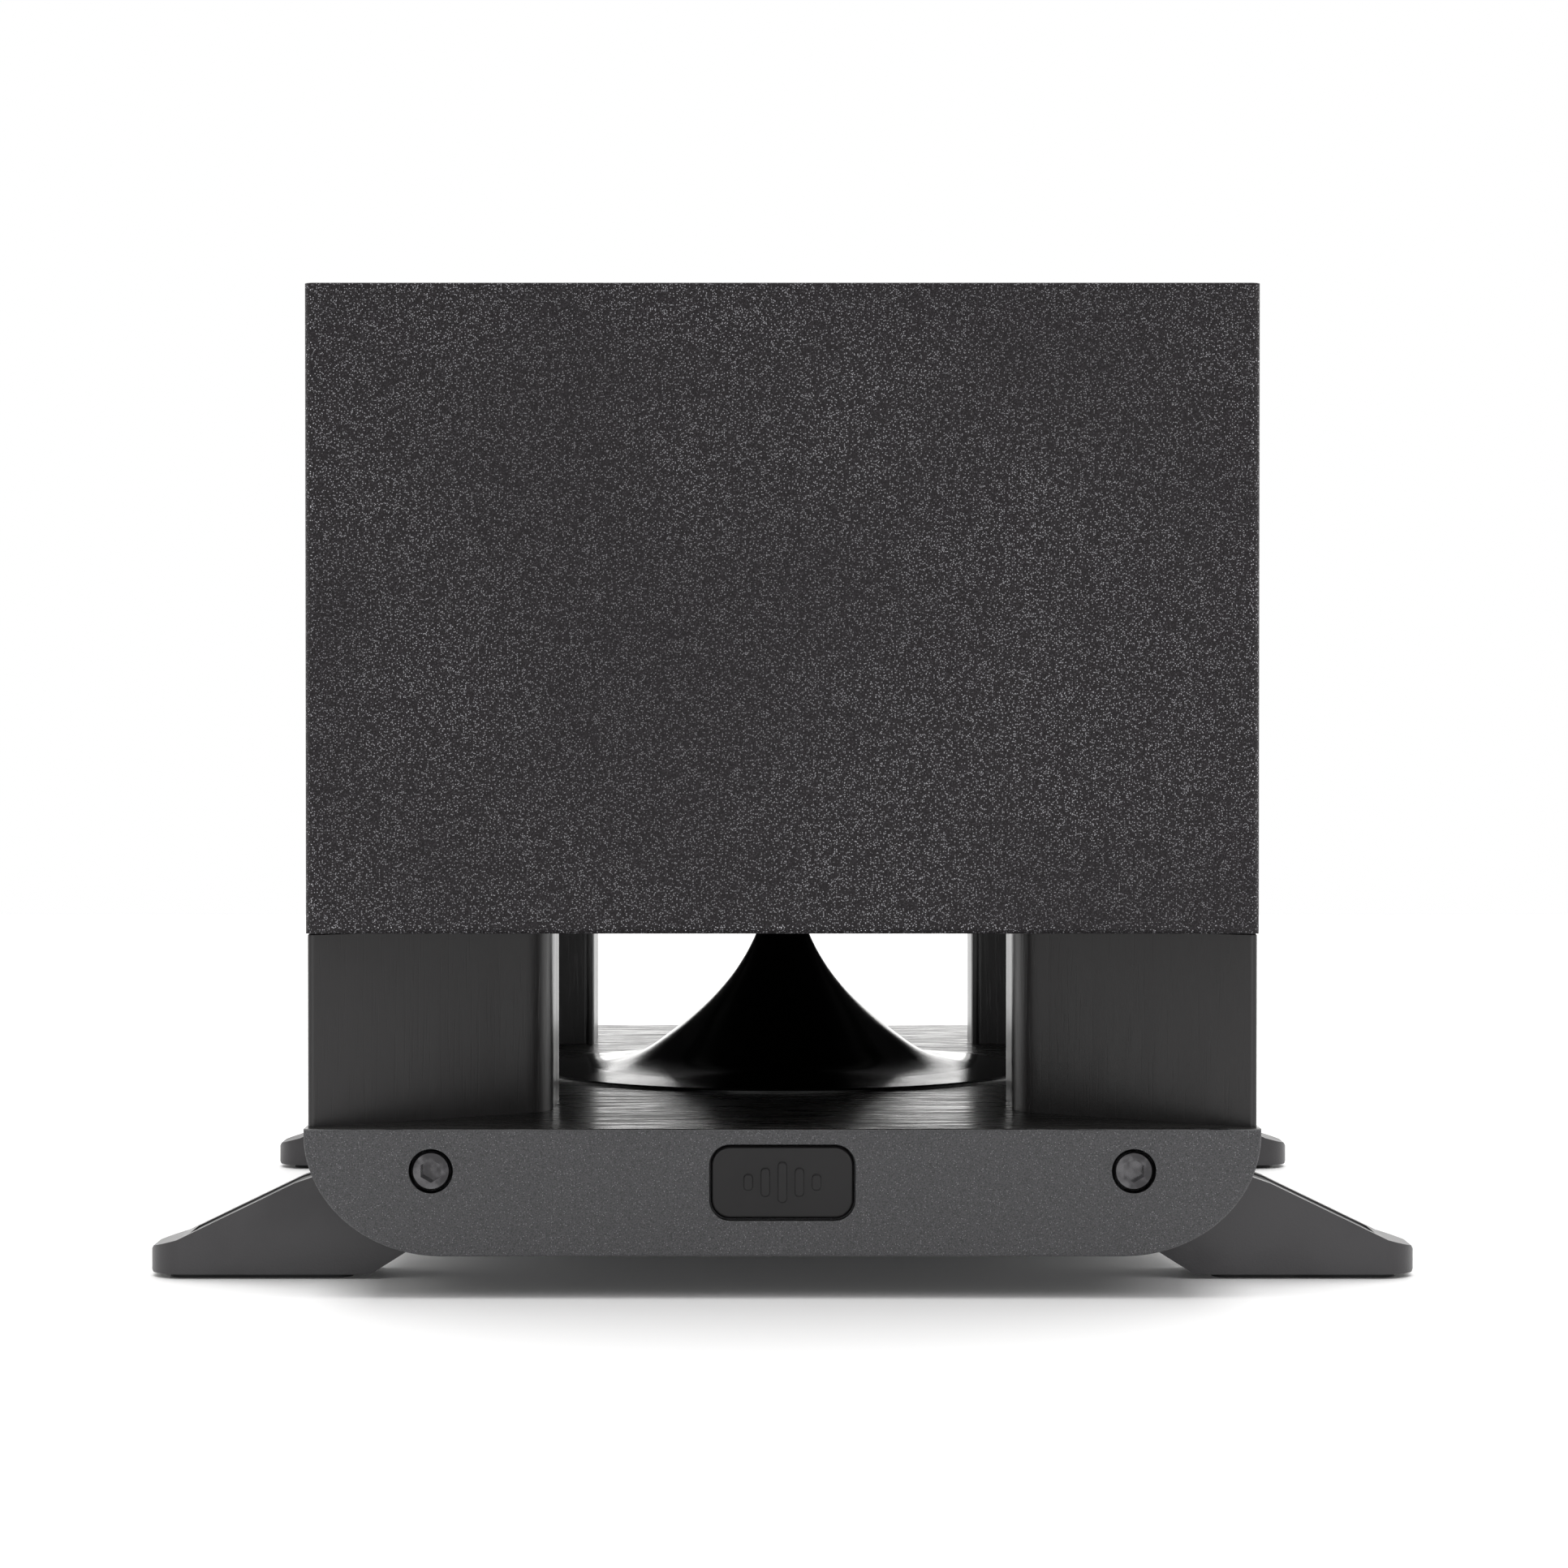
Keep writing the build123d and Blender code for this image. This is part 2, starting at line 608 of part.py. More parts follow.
plinth_slab.part.label = "plinth_slab"
export_step(plinth_slab.part, "parts/plinth_slab.step")

# Badge: a domed plate with five plain raised bars.
with BuildPart() as badge:
    with BuildSketch(badge_face.offset(-badge_size[2])):
        RectangleRounded(badge_size[0], badge_size[1], badge_radius)
    extrude(amount=badge_size[2] - badge_relief)
    fillet(badge.edges().group_by(Axis.Y)[0], 0.8)
    bar_pitch = 4.2
    with BuildSketch(badge_face.offset(-badge_relief)):
        for step, height in enumerate((4.0, 7.0, 10.0, 7.0, 4.0)):
            with Locations(((step - 2) * bar_pitch, 0)):
                RectangleRounded(2.2, height, 0.9)
    extrude(amount=badge_relief)
    fillet(badge.edges().group_by(Axis.Y)[0], 0.3)
badge.part.label = "badge"
export_step(badge.part, "parts/badge.step")

long_screw = wood_screw(slab_height - diffuser_screw_seat + boss_height - 3.0)
with BuildPart() as diffuser_screws:
    for turn in (90, 210, 330):
        x = boss_circle * math.cos(math.radians(turn))
        y = y_mid + boss_circle * math.sin(math.radians(turn))
        with Locations(Plane((x, y, z_slab + diffuser_screw_seat), z_dir=(0, 0, -1)).location):
            add(long_screw.part)
diffuser_screws.part.label = "diffuser_screws"
export_step(diffuser_screws.part, "parts/diffuser_screws.step")

# ---- pillars ------------------------------------------------------------------------------------------------------
# Swept outer face, rounded nose, straight inner face and flat back, bored for one long bolt.
with BuildPart() as pillar:
    with BuildSketch(Plane((0, y_rear, z_slab_top))):
        with BuildLine():
            FilletPolyline(
                (half_width, pillar_setback),
                (half_width, pillar_depth),
                (pillar_inner, pillar_depth),
                (pillar_inner, pillar_sweep_end),
                radius=[pillar_edge_radius, pillar_edge_radius, pillar_heel_radius, pillar_nose_radius],
                close=True,
            )
        make_face()
        with Locations(pillar_bolt):
            Circle(bolt_shank + 0.2, mode=Mode.SUBTRACT)
    extrude(amount=channel_height)
    chamfer(pillar.edges().group_by(Axis.Z)[-1].sort_by(SortBy.LENGTH)[1:], 0.5)
for name, (left, front) in zip(end_names, ends):
    placed_pillar = copied(pillar, left, front)
    placed_pillar.part.label = f"pillar_{name}"
    export_step(placed_pillar.part, f"parts/pillar_{name}.step")

pillar_bolt_length = slab_height - bolt_seat_depth + channel_height + bolt_bite
low_seat = Plane((pillar_bolt[0], y_pillar_bolt, z_slab + bolt_seat_depth), z_dir=(0, 0, -1))
long_bolt = cap_bolt(pillar_bolt_length).part
with BuildPart() as upright_bolt:
    with Locations(low_seat.location):
        add(long_bolt)
copies = [copied(upright_bolt, left, front).part for left, front in ends]
with BuildPart() as pillar_bolts:
    add(copies)
pillar_bolts.part.label = "pillar_bolts"
export_step(pillar_bolts.part, "parts/pillar_bolts.step")

# ---- woofer ---------------------------------------------------------------------------------------------------------
# Places along the driver's axis are measured from the baffle's face, forward positive.
flange_front = -2.2
landing = 57.2                # inner radius of the basket's flange
cone_edge = 50.5
cone_back = -6.2
coil_radius = 12.5
coil_wall = 0.5
pole_radius = 12.0
plate_front = -43.0
plate_thickness = 5.0
magnet_height = 14.0
yoke_thickness = 6.0
magnet_radius = 42.0
spider_level = -30.5
spider_outer = 39.0
excursion_room = 0.6          # gap between the coil's winding and the top plate

woofer_basket = turned(
    woofer_plane,
    woofer_axis,
    [
        (landing, flange_front),
        (woofer_radius, flange_front),
        (woofer_radius, -rebate),
        (woofer_cutout - 0.6, -rebate),
        (woofer_cutout - 0.6, -9.0),
        (magnet_radius, -28.0),
        (magnet_radius, plate_front),
        (17.0, plate_front),
        (17.0, plate_front + 2.5),
        (spider_outer + 0.5, plate_front + 2.5),
        (spider_outer + 0.5, spider_level - 2.5),
        (spider_outer - 5.5, spider_level - 2.5),
        (spider_outer - 5.5, spider_level),
        (spider_outer + 0.5, spider_level),
        (spider_outer + 0.5, -28.8),
        (landing - 0.8, -9.8),
        (landing, -9.0),
    ],
)
with BuildPart() as woofer_basket_cut:
    add(woofer_basket.part)
    with BuildSketch(woofer_face.offset(-27.0)):
        with PolarLocations(50.0, 6):
            RectangleRounded(24.0, 26.0, 4.0)
    extrude(amount=16.5, mode=Mode.SUBTRACT)
    with BuildSketch(woofer_face):
        with PolarLocations(woofer_screw_circle, woofer_screw_count, start_angle=45):
            Circle(screw_shank + 0.3)
    extrude(amount=-rebate - 1.0, mode=Mode.SUBTRACT)
woofer_basket_cut.part.label = "woofer_basket"
export_step(woofer_basket_cut.part, "parts/woofer_basket.step")

gasket_front = -0.2
with BuildPart() as woofer_gasket:
    with BuildSketch(woofer_face.offset(flange_front)):
        Circle(woofer_radius)
        Circle(landing + 4.4, mode=Mode.SUBTRACT)
        with PolarLocations(woofer_screw_circle, woofer_screw_count, start_angle=45):
            Circle(screw_head[0] + 0.1, mode=Mode.SUBTRACT)
    extrude(amount=gasket_front - flange_front)
    chamfer(woofer_gasket.edges().group_by(Axis.Y)[-1].sort_by(SortBy.LENGTH)[-2:], 0.5)
woofer_gasket.part.label = "woofer_gasket"
export_step(woofer_gasket.part, "parts/woofer_gasket.step")

# Rubber half roll from the cone's edge to the flange.
roll_thickness = 0.6
roll_crest = 1.3
neck = coil_radius + coil_wall
cone_front = cone_back + 1.2
with BuildPart() as woofer_surround:
    with BuildSketch(woofer_plane):
        with BuildLine():
            inner = (cone_edge + 0.7, cone_front + roll_thickness / 2)
            outer = (landing + 0.3, flange_front + roll_thickness / 2)
            Line((cone_edge - 1.9, inner[1]), inner)
            ThreePointArc(inner, ((inner[0] + outer[0]) / 2, roll_crest), outer)
            Line(outer, (landing + 4.2, outer[1]))
        trace(line_width=roll_thickness)
    revolve(axis=woofer_axis)
woofer_surround.part.label = "woofer_surround"
export_step(woofer_surround.part, "parts/woofer_surround.step")

woofer_cone = turned(
    woofer_plane,
    woofer_axis,
    [
        (neck, cone_back - 22.4),
        (neck, cone_back - 21.0),
        (cone_edge - 0.7, cone_front),
        (cone_edge, cone_front),
        (cone_edge, cone_front - 1.0),
        (cone_edge - 0.6, cone_back),
    ],
)
woofer_cone.part.label = "woofer_cone"
export_step(woofer_cone.part, "parts/woofer_cone.step")


def dome(plane, axis, radius, base, height, skin):
    """Thin spherical cap turned about a driver's axis."""
    sphere = (radius**2 + height**2) / (2 * height)
    centre = base + height - sphere
    lower = math.sqrt((sphere - skin) ** 2 - (base - centre) ** 2)
    with BuildPart() as cap:
        with BuildSketch(plane):
            with BuildLine():
                half = radius / 2
                ThreePointArc(
                    (radius, base),
                    (half, centre + math.sqrt(sphere**2 - half**2)),
                    (0, base + height),
                )
                Line((0, base + height), (0, base + height - skin))
                ThreePointArc(
                    (0, base + height - skin),
                    (half, centre + math.sqrt((sphere - skin) ** 2 - half**2)),
                    (lower, base),
                )
                Line((lower, base), (radius, base))
            make_face()
        revolve(axis=axis)
    return cap


cap_radius = 18.0
cap_base = cone_back - 21.0 + (cap_radius + 0.6 - neck) * 22.2 / (cone_edge - 0.7 - neck)
woofer_dust_cap = dome(woofer_plane, woofer_axis, cap_radius, cap_base, 6.5, 0.6)
woofer_dust_cap.part.label = "woofer_dust_cap"
export_step(woofer_dust_cap.part, "parts/woofer_dust_cap.step")

winding = 0.5
woofer_voice_coil = turned(
    woofer_plane,
    woofer_axis,
    [
        (coil_radius, -54.0),
        (neck + winding, -54.0),
        (neck + winding, -37.0),
        (neck, -37.0),
        (neck, cone_back - 20.2),
        (coil_radius, cone_back - 20.2),
    ],
)
woofer_voice_coil.part.label = "woofer_voice_coil"
export_step(woofer_voice_coil.part, "parts/woofer_voice_coil.step")

# Corrugated spider on the basket's ledge, its hole just clear of the coil former.
spider_inner = neck + fit
spider_waves = 10
spider_skin = 0.5
wave_height = 0.9
reach = spider_outer - 6.0 - spider_inner
crests = [
    (spider_inner + reach * step / spider_waves, spider_level + (wave_height if step % 2 else 0))
    for step in range(spider_waves + 1)
]
woofer_spider = turned(
    woofer_plane,
    woofer_axis,
    crests
    + [(spider_outer, spider_level), (spider_outer, spider_level + spider_skin)]
    + [(radius, level + spider_skin) for radius, level in reversed(crests)],
)
woofer_spider.part.label = "woofer_spider"
export_step(woofer_spider.part, "parts/woofer_spider.step")

plate_back = plate_front - plate_thickness
magnet_back = plate_back - magnet_height
woofer_top_plate = turned(
    woofer_plane,
    woofer_axis,
    [
        (neck + winding + excursion_room, plate_front),
        (magnet_radius - 5.0, plate_front),
        (magnet_radius - 5.0, plate_back),
        (neck + winding + excursion_room, plate_back),
    ],
)
woofer_top_plate.part.label = "woofer_top_plate"
export_step(woofer_top_plate.part, "parts/woofer_top_plate.step")

woofer_magnet = turned(
    woofer_plane,
    woofer_axis,
    [
        (20.0, plate_back),
        (magnet_radius - 0.8, plate_back),
        (magnet_radius, plate_back - 0.8),
        (magnet_radius, magnet_back + 0.8),
        (magnet_radius - 0.8, magnet_back),
        (20.0, magnet_back),
    ],
)
woofer_magnet.part.label = "woofer_magnet"
export_step(woofer_magnet.part, "parts/woofer_magnet.step")

woofer_yoke = turned(
    woofer_plane,
    woofer_axis,
    [
        (0, plate_front),
        (pole_radius, plate_front),
        (pole_radius, magnet_back),
        (magnet_radius - 3.0, magnet_back),
        (magnet_radius - 3.0, magnet_back - yoke_thickness + 1.0),
        (magnet_radius - 4.0, magnet_back - yoke_thickness),
        (0, magnet_back - yoke_thickness),
    ],
)
woofer_yoke.part.label = "woofer_yoke"
export_step(woofer_yoke.part, "parts/woofer_yoke.step")


def driver_screws(face, seat_level, circle, count):
    """A ring of screws through a driver's flange into the baffle."""
    screw = wood_screw(driver_screw_length + seat_level - 1.0).part
    with BuildPart() as ring:
        with Locations(face.offset(seat_level).location):
            with PolarLocations(circle, count, start_angle=45):
                add(screw)
    return ring


woofer_screws = driver_screws(woofer_face, flange_front, woofer_screw_circle, woofer_screw_count)
woofer_screws.part.label = "woofer_screws"
export_step(woofer_screws.part, "parts/woofer_screws.step")

# Terminal block on the basket's wall, facing the crossover.
terminal_level = -36.0
terminal_angle = -50.0
terminal_direction = Vector(
    math.cos(math.radians(terminal_angle)), 0, math.sin(math.radians(terminal_angle))
)
terminal_seat = Vector(woofer_offset, y_front + terminal_level, z_drivers) + terminal_direction * magnet_radius
terminal_plane = Plane(terminal_seat, x_dir=(0, 1, 0), z_dir=terminal_direction)
tag_spacing = 6.0
with BuildPart() as basket_wall:
    with BuildSketch(woofer_face):
        Circle(magnet_radius)
    extrude(amount=plate_front)
with BuildPart() as woofer_terminals:
    with BuildSketch(terminal_plane.offset(-1.2)):
        Rectangle(8.0, 16.0)
    extrude(amount=4.2)
    add(basket_wall.part, mode=Mode.SUBTRACT)
    with BuildSketch(terminal_plane.offset(3.0)):
        with GridLocations(0, tag_spacing, 1, 2):
            Rectangle(0.8, 3.0)
    extrude(amount=4.0)
woofer_terminals.part.label = "woofer_terminals"
export_step(woofer_terminals.part, "parts/woofer_terminals.step")

# ---- tweeter --------------------------------------------------------------------------------------------------------
dome_radius = 12.7
dome_rim = 14.6
dome_base = -3.4
tweeter_coil = (12.6, 13.1)
tweeter_pole = 12.1
tweeter_magnet_radius = 24.5
tweeter_magnet_back = -19.0
tweeter_plate_back = -23.0
head_room = screw_head[0] + 0.1
with BuildPart() as tweeter_faceplate:
    with BuildSketch(tweeter_plane):
        with BuildLine():
            Polyline(
                (dome_rim + 0.4, -rebate),
                (tweeter_radius, -rebate),
                (tweeter_radius, gasket_front - 0.3),
                (tweeter_radius - 0.3, gasket_front),
                (tweeter_radius - 8.0, gasket_front),
            )
            RadiusArc((tweeter_radius - 8.0, gasket_front), (dome_rim + 0.4, -3.0), 26.0)
            Line((dome_rim + 0.4, -3.0), (dome_rim + 0.4, -rebate))
        make_face()
    revolve(axis=tweeter_axis)
    for radius, start in ((head_room, gasket_front), (screw_shank + 0.1, -2.2)):
        with BuildSketch(tweeter_face.offset(start)):
            with PolarLocations(tweeter_screw_circle, tweeter_screw_count, start_angle=45):
                Circle(radius)
        extrude(amount=-2.0, mode=Mode.SUBTRACT)
tweeter_faceplate.part.label = "tweeter_faceplate"
export_step(tweeter_faceplate.part, "parts/tweeter_faceplate.step")

tweeter_cap = dome(tweeter_plane, tweeter_axis, dome_radius, dome_base + 0.4, 5.4, 0.4)
with BuildPart() as tweeter_dome:
    add(tweeter_cap.part)
    with BuildSketch(tweeter_face.offset(dome_base)):
        Circle(dome_rim)
        Circle(dome_radius - 0.6, mode=Mode.SUBTRACT)
    extrude(amount=0.4)
tweeter_dome.part.label = "tweeter_dome"
export_step(tweeter_dome.part, "parts/tweeter_dome.step")

tweeter_voice_coil = turned(
    tweeter_plane,
    tweeter_axis,
    [
        (tweeter_coil[0], -12.0),
        (tweeter_coil[1], -12.0),
        (tweeter_coil[1], dome_base),
        (tweeter_coil[0], dome_base),
    ],
)
tweeter_voice_coil.part.label = "tweeter_voice_coil"
export_step(tweeter_voice_coil.part, "parts/tweeter_voice_coil.step")

tweeter_magnet = turned(
    tweeter_plane,
    tweeter_axis,
    [
        (tweeter_coil[1] + 0.5, -rebate),
        (tweeter_magnet_radius, -rebate),
        (tweeter_magnet_radius, tweeter_magnet_back),
        (tweeter_coil[1] + 0.5, tweeter_magnet_back),
    ],
)
tweeter_magnet.part.label = "tweeter_magnet"
export_step(tweeter_magnet.part, "parts/tweeter_magnet.step")

tweeter_yoke = turned(
    tweeter_plane,
    tweeter_axis,
    [
        (0, -rebate - 0.5),
        (tweeter_pole, -rebate - 0.5),
        (tweeter_pole, tweeter_magnet_back),
        (tweeter_magnet_radius, tweeter_magnet_back),
        (tweeter_magnet_radius, tweeter_plate_back),
        (0, tweeter_plate_back),
    ],
)
tweeter_yoke.part.label = "tweeter_yoke"
export_step(tweeter_yoke.part, "parts/tweeter_yoke.step")

tweeter_screws = driver_screws(tweeter_face, -2.2, tweeter_screw_circle, tweeter_screw_count)
tweeter_screws.part.label = "tweeter_screws"
export_step(tweeter_screws.part, "parts/tweeter_screws.step")

# ---- grille -------------------------------------------------------------------------------------------------------------
# Rounded frame with a cross bar between the drivers, covered in cloth and held by magnets.
y_grille_back = y_front + grille_gap
y_grille_front = y_front + grille_stand - cloth_thickness
grille_back_face = Plane((0, y_grille_back, z_drivers), x_dir=(-1, 0, 0), z_dir=(0, 1, 0))
grille_depth = y_grille_front - y_grille_back
grille_size = (2 * grille_half[0], 2 * grille_half[1])
bar_width = 6.0
bar_x = (woofer_offset + woofer_radius + tweeter_offset - tweeter_radius) / 2
window_radius = 20.0
with BuildPart() as grille_frame:
    with BuildSketch(grille_back_face):
        RectangleRounded(grille_size[0], grille_size[1], grille_corner)
        RectangleRounded(
            grille_size[0] - 2 * grille_rim,
            grille_size[1] - 2 * grille_rim,
            window_radius,
            mode=Mode.SUBTRACT,
        )
    extrude(amount=grille_depth)
    chamfer(grille_frame.faces().sort_by(Axis.Y)[-1].inner_wires().edges(), 3.0)
    with BuildSketch(grille_back_face.offset(4.0)):
        with Locations((-bar_x, 0)):
            Rectangle(bar_width, grille_size[1] - 2 * grille_rim + 1.0)
    extrude(amount=grille_depth - 4.0)
    with BuildSketch(grille_back_face):
        with Locations(*[(-x, z - z_drivers) for x, z in catch_places]):
            Circle(catch_magnet[0] + 0.05)
    extrude(amount=catch_magnet[1], mode=Mode.SUBTRACT)
grille_frame.part.label = "grille_frame"
export_step(grille_frame.part, "parts/grille_frame.step")

with BuildPart() as grille_cloth:
    with BuildSketch(grille_back_face.offset(grille_depth)):
        RectangleRounded(grille_size[0], grille_size[1], grille_corner)
    extrude(amount=cloth_thickness)
    fillet(grille_cloth.edges().group_by(Axis.Y)[-1], 0.8)
grille_cloth.part.label = "grille_cloth"
export_step(grille_cloth.part, "parts/grille_cloth.step")

for name, face, offset_y in (
    ("grille_magnets", grille_back_face, 0.0),
    ("baffle_magnets", grille_back_face, -grille_gap - catch_magnet[1]),
):
    with BuildPart() as magnets:
        with BuildSketch(face.offset(offset_y)):
            with Locations(*[(-x, z - z_drivers) for x, z in catch_places]):
                Circle(catch_magnet[0])
        extrude(amount=catch_magnet[1])
    magnets.part.label = name
    export_step(magnets.part, f"parts/{name}.step")

# ---- terminal cup and binding posts -------------------------------------------------------------------------------
# Well in the cabinet's underside, between the rear pillars; the posts point down inside it.
z_well = z_cab + cup_well[2]
z_cup_top = z_well + cup_wall
cup_plane = Plane((0, y_cup, z_cab))
with BuildPart() as terminal_cup:
    with BuildSketch(cup_plane):
        RectangleRounded(cup_plate[0], cup_plate[1], 6.0)
    extrude(amount=cup_flange[1])
    with BuildSketch(cup_plane):
        RectangleRounded(cup_outer[0], cup_outer[1], 4.0)
    extrude(amount=z_cup_top - z_cab)
    with BuildSketch(cup_plane):
        RectangleRounded(cup_well[0], cup_well[1], 3.0)
    extrude(amount=cup_well[2], mode=Mode.SUBTRACT)
    with BuildSketch(cup_plane):
        with GridLocations(2 * cup_screw[0], 2 * cup_screw[1], 2, 2):
            Circle(screw_shank + 0.2)
        with GridLocations(post_spacing, 0, 2, 1):
            Circle(post_radius + 0.05)
    extrude(amount=z_cup_top - z_cab, mode=Mode.SUBTRACT)
    with BuildSketch(cup_plane):
        with GridLocations(2 * cup_screw[0], 2 * cup_screw[1], 2, 2):
            Circle(head_room)
    extrude(amount=screw_head[1], mode=Mode.SUBTRACT)
terminal_cup.part.label = "terminal_cup"
export_step(terminal_cup.part, "parts/terminal_cup.step")

z_post_tip = z_well - 21.0
z_post_top = z_cup_top + 8.0
collar_height = 3.0
with BuildPart() as binding_studs:
    with BuildSketch(cup_plane.offset(z_post_tip - z_cab)):
        with GridLocations(post_spacing, 0, 2, 1):
            Circle(post_radius)
    extrude(amount=z_post_top - z_post_tip)
    with BuildSketch(cup_plane.offset(z_well - collar_height - z_cab)):
        with GridLocations(post_spacing, 0, 2, 1):
            Circle(6.0)
    extrude(amount=collar_height)
    with BuildSketch(cup_plane.offset(z_cup_top - z_cab)):
        with GridLocations(post_spacing, 0, 2, 1):
            RegularPolygon(5.5, 6)
    extrude(amount=3.0)
    with BuildSketch(cup_plane.offset(z_post_tip - z_cab)):
        with GridLocations(post_spacing, 0, 2, 1):
            Circle(socket_radius)
    extrude(amount=socket_length, mode=Mode.SUBTRACT)
binding_studs.part.label = "binding_studs"
export_step(binding_studs.part, "parts/binding_studs.step")

# Each post nut is a brass insert running on the stud, and a knurled cap turning around it.
insert_radius = 4.4
running_gap = 0.05
cap_outer = 7.4
z_insert_top = z_well - collar_height - fit
z_insert_low = z_post_tip + 3.2
z_cap_low = z_post_tip - 0.6
cap_flutes = 12
for colour, side in (("red", 1), ("black", -1)):
    post_plane = Plane((side * post_spacing / 2, y_cup, 0))
    with BuildPart() as insert:
        with BuildSketch(post_plane.offset(z_insert_low)):
            Circle(insert_radius)
            Circle(post_radius + running_gap, mode=Mode.SUBTRACT)
        extrude(amount=z_insert_top - z_insert_low)
    insert.part.label = f"post_insert_{colour}"
    export_step(insert.part, f"parts/post_insert_{colour}.step")
    with BuildPart() as cap:
        with BuildSketch(post_plane.offset(z_cap_low)):
            Circle(cap_outer)
            with PolarLocations(cap_outer, cap_flutes):
                Circle(0.9, mode=Mode.SUBTRACT)
            Circle(post_radius + fit, mode=Mode.SUBTRACT)
        extrude(amount=z_insert_top - 0.2 - z_cap_low)
        with BuildSketch(post_plane.offset(z_insert_low - fit)):
            Circle(insert_radius + running_gap)
        extrude(amount=z_insert_top - z_insert_low + fit, mode=Mode.SUBTRACT)
        chamfer(cap.edges().group_by(Axis.Z)[0].filter_by(GeomType.CIRCLE).sort_by(SortBy.LENGTH)[-1:], 0.4)
    cap.part.label = f"post_cap_{colour}"
    export_step(cap.part, f"parts/post_cap_{colour}.step")

# ---- crossover ---------------------------------------------------------------------------------------------------------------
# Board on four pillars cast into its screws' spacers, on the bottom panel behind the baffle.
z_board = z_floor + board_lift
z_board_top = z_board + board_size[2]
board_plane = Plane((board_x, board_y, z_board))
with BuildPart() as crossover_board:
    with BuildSketch(board_plane):
        RectangleRounded(board_size[0], board_size[1], 2.0)
        with GridLocations(2 * board_hole[0], 2 * board_hole[1], 2, 2):
            Circle(screw_shank + 0.2, mode=Mode.SUBTRACT)
    extrude(amount=board_size[2])
    with BuildSketch(board_plane):
        with GridLocations(2 * board_hole[0], 2 * board_hole[1], 2, 2):
            Circle(3.5)
            Circle(screw_shank + 0.2, mode=Mode.SUBTRACT)
    extrude(amount=-board_lift)
crossover_board.part.label = "crossover_board"
export_step(crossover_board.part, "parts/crossover_board.step")

coil_height = 16.0
with BuildPart() as crossover_inductors:
    for x, y, outer, inner in ((-16.0, 3.0, 15.0, 7.0), (17.0, -6.0, 11.0, 5.0)):
        with BuildSketch(Plane((board_x + x, board_y + y, z_board_top))):
            Circle(outer)
            Circle(inner, mode=Mode.SUBTRACT)
        extrude(amount=coil_height)
    fillet(crossover_inductors.edges().group_by(Axis.Z)[-1], 1.5)
crossover_inductors.part.label = "crossover_inductors"
export_step(crossover_inductors.part, "parts/crossover_inductors.step")

with BuildPart() as crossover_capacitors:
    for x, y, radius, length in ((14.0, 14.5, 7.0, 30.0), (-16.0, -18.0, 4.5, 22.0)):
        spot = (board_x + x, board_y + y, z_board_top + radius)
        with Locations(spot):
            Cylinder(radius, length, rotation=(0, 90, 0))
    fillet(crossover_capacitors.edges().filter_by(GeomType.CIRCLE), 1.0)
crossover_capacitors.part.label = "crossover_capacitors"
export_step(crossover_capacitors.part, "parts/crossover_capacitors.step")

with BuildPart() as crossover_resistor:
    with Locations((board_x + 33.0, board_y, z_board_top + 4.0)):
        Box(7.0, 24.0, 8.0)
    fillet(crossover_resistor.edges().filter_by(Axis.Y), 0.8)
crossover_resistor.part.label = "crossover_resistor"
export_step(crossover_resistor.part, "parts/crossover_resistor.step")

# ---- small screws: port flange, terminal cup and crossover board --------------------------------------------------------
small_screw = wood_screw(small_screw_length)
with BuildPart() as small_screws:
    for turn in (45, 135, 225, 315):
        x = port_screw_circle * math.cos(math.radians(turn))
        y = y_mid + port_screw_circle * math.sin(math.radians(turn))
        with Locations((x, y, z_floor + port_flange[1])):
            add(small_screw.part)
    for x in (-1, 1):
        for y in (-1, 1):
            with Locations((board_x + x * board_hole[0], board_y + y * board_hole[1], z_board_top)):
                add(small_screw.part)
            spot = (x * cup_screw[0], y_cup + y * cup_screw[1], z_cab + screw_head[1])
            with Locations(Plane(spot, z_dir=(0, 0, -1)).location):
                add(small_screw.part)
small_screws.part.label = "small_screws"
export_step(small_screws.part, "parts/small_screws.step")

# ---- wiring -----------------------------------------------------------------------------------------------------------------
# Pairs of insulated leads: terminals to the board, board to the woofer, board to the tweeter.


def lead(points):
    """Round lead along straight runs joined by arcs as large as the runs allow."""
    runs = [Vector(b) - Vector(a) for a, b in zip(points, points[1:])]
    radii = []
    for before, after in zip(runs, runs[1:]):
        half_turn = math.radians(before.get_angle(after)) / 2
        radii.append(0.45 * min(before.length, after.length) / math.tan(half_turn))
    print("lead radii", [round(radius, 1) for radius in radii])
    with BuildPart() as tube:
        with BuildLine() as path:
            FilletPolyline(*points, radius=radii)
        start = points[0]
        with BuildSketch(Plane(start, z_dir=runs[0])):
            Circle(lead_radius)
        sweep(path=path.wires()[0])
    share = tube.part.volume / (math.pi * lead_radius**2 * path.wires()[0].length)
    print("lead volume against section times length", round(share, 4))
    return tube


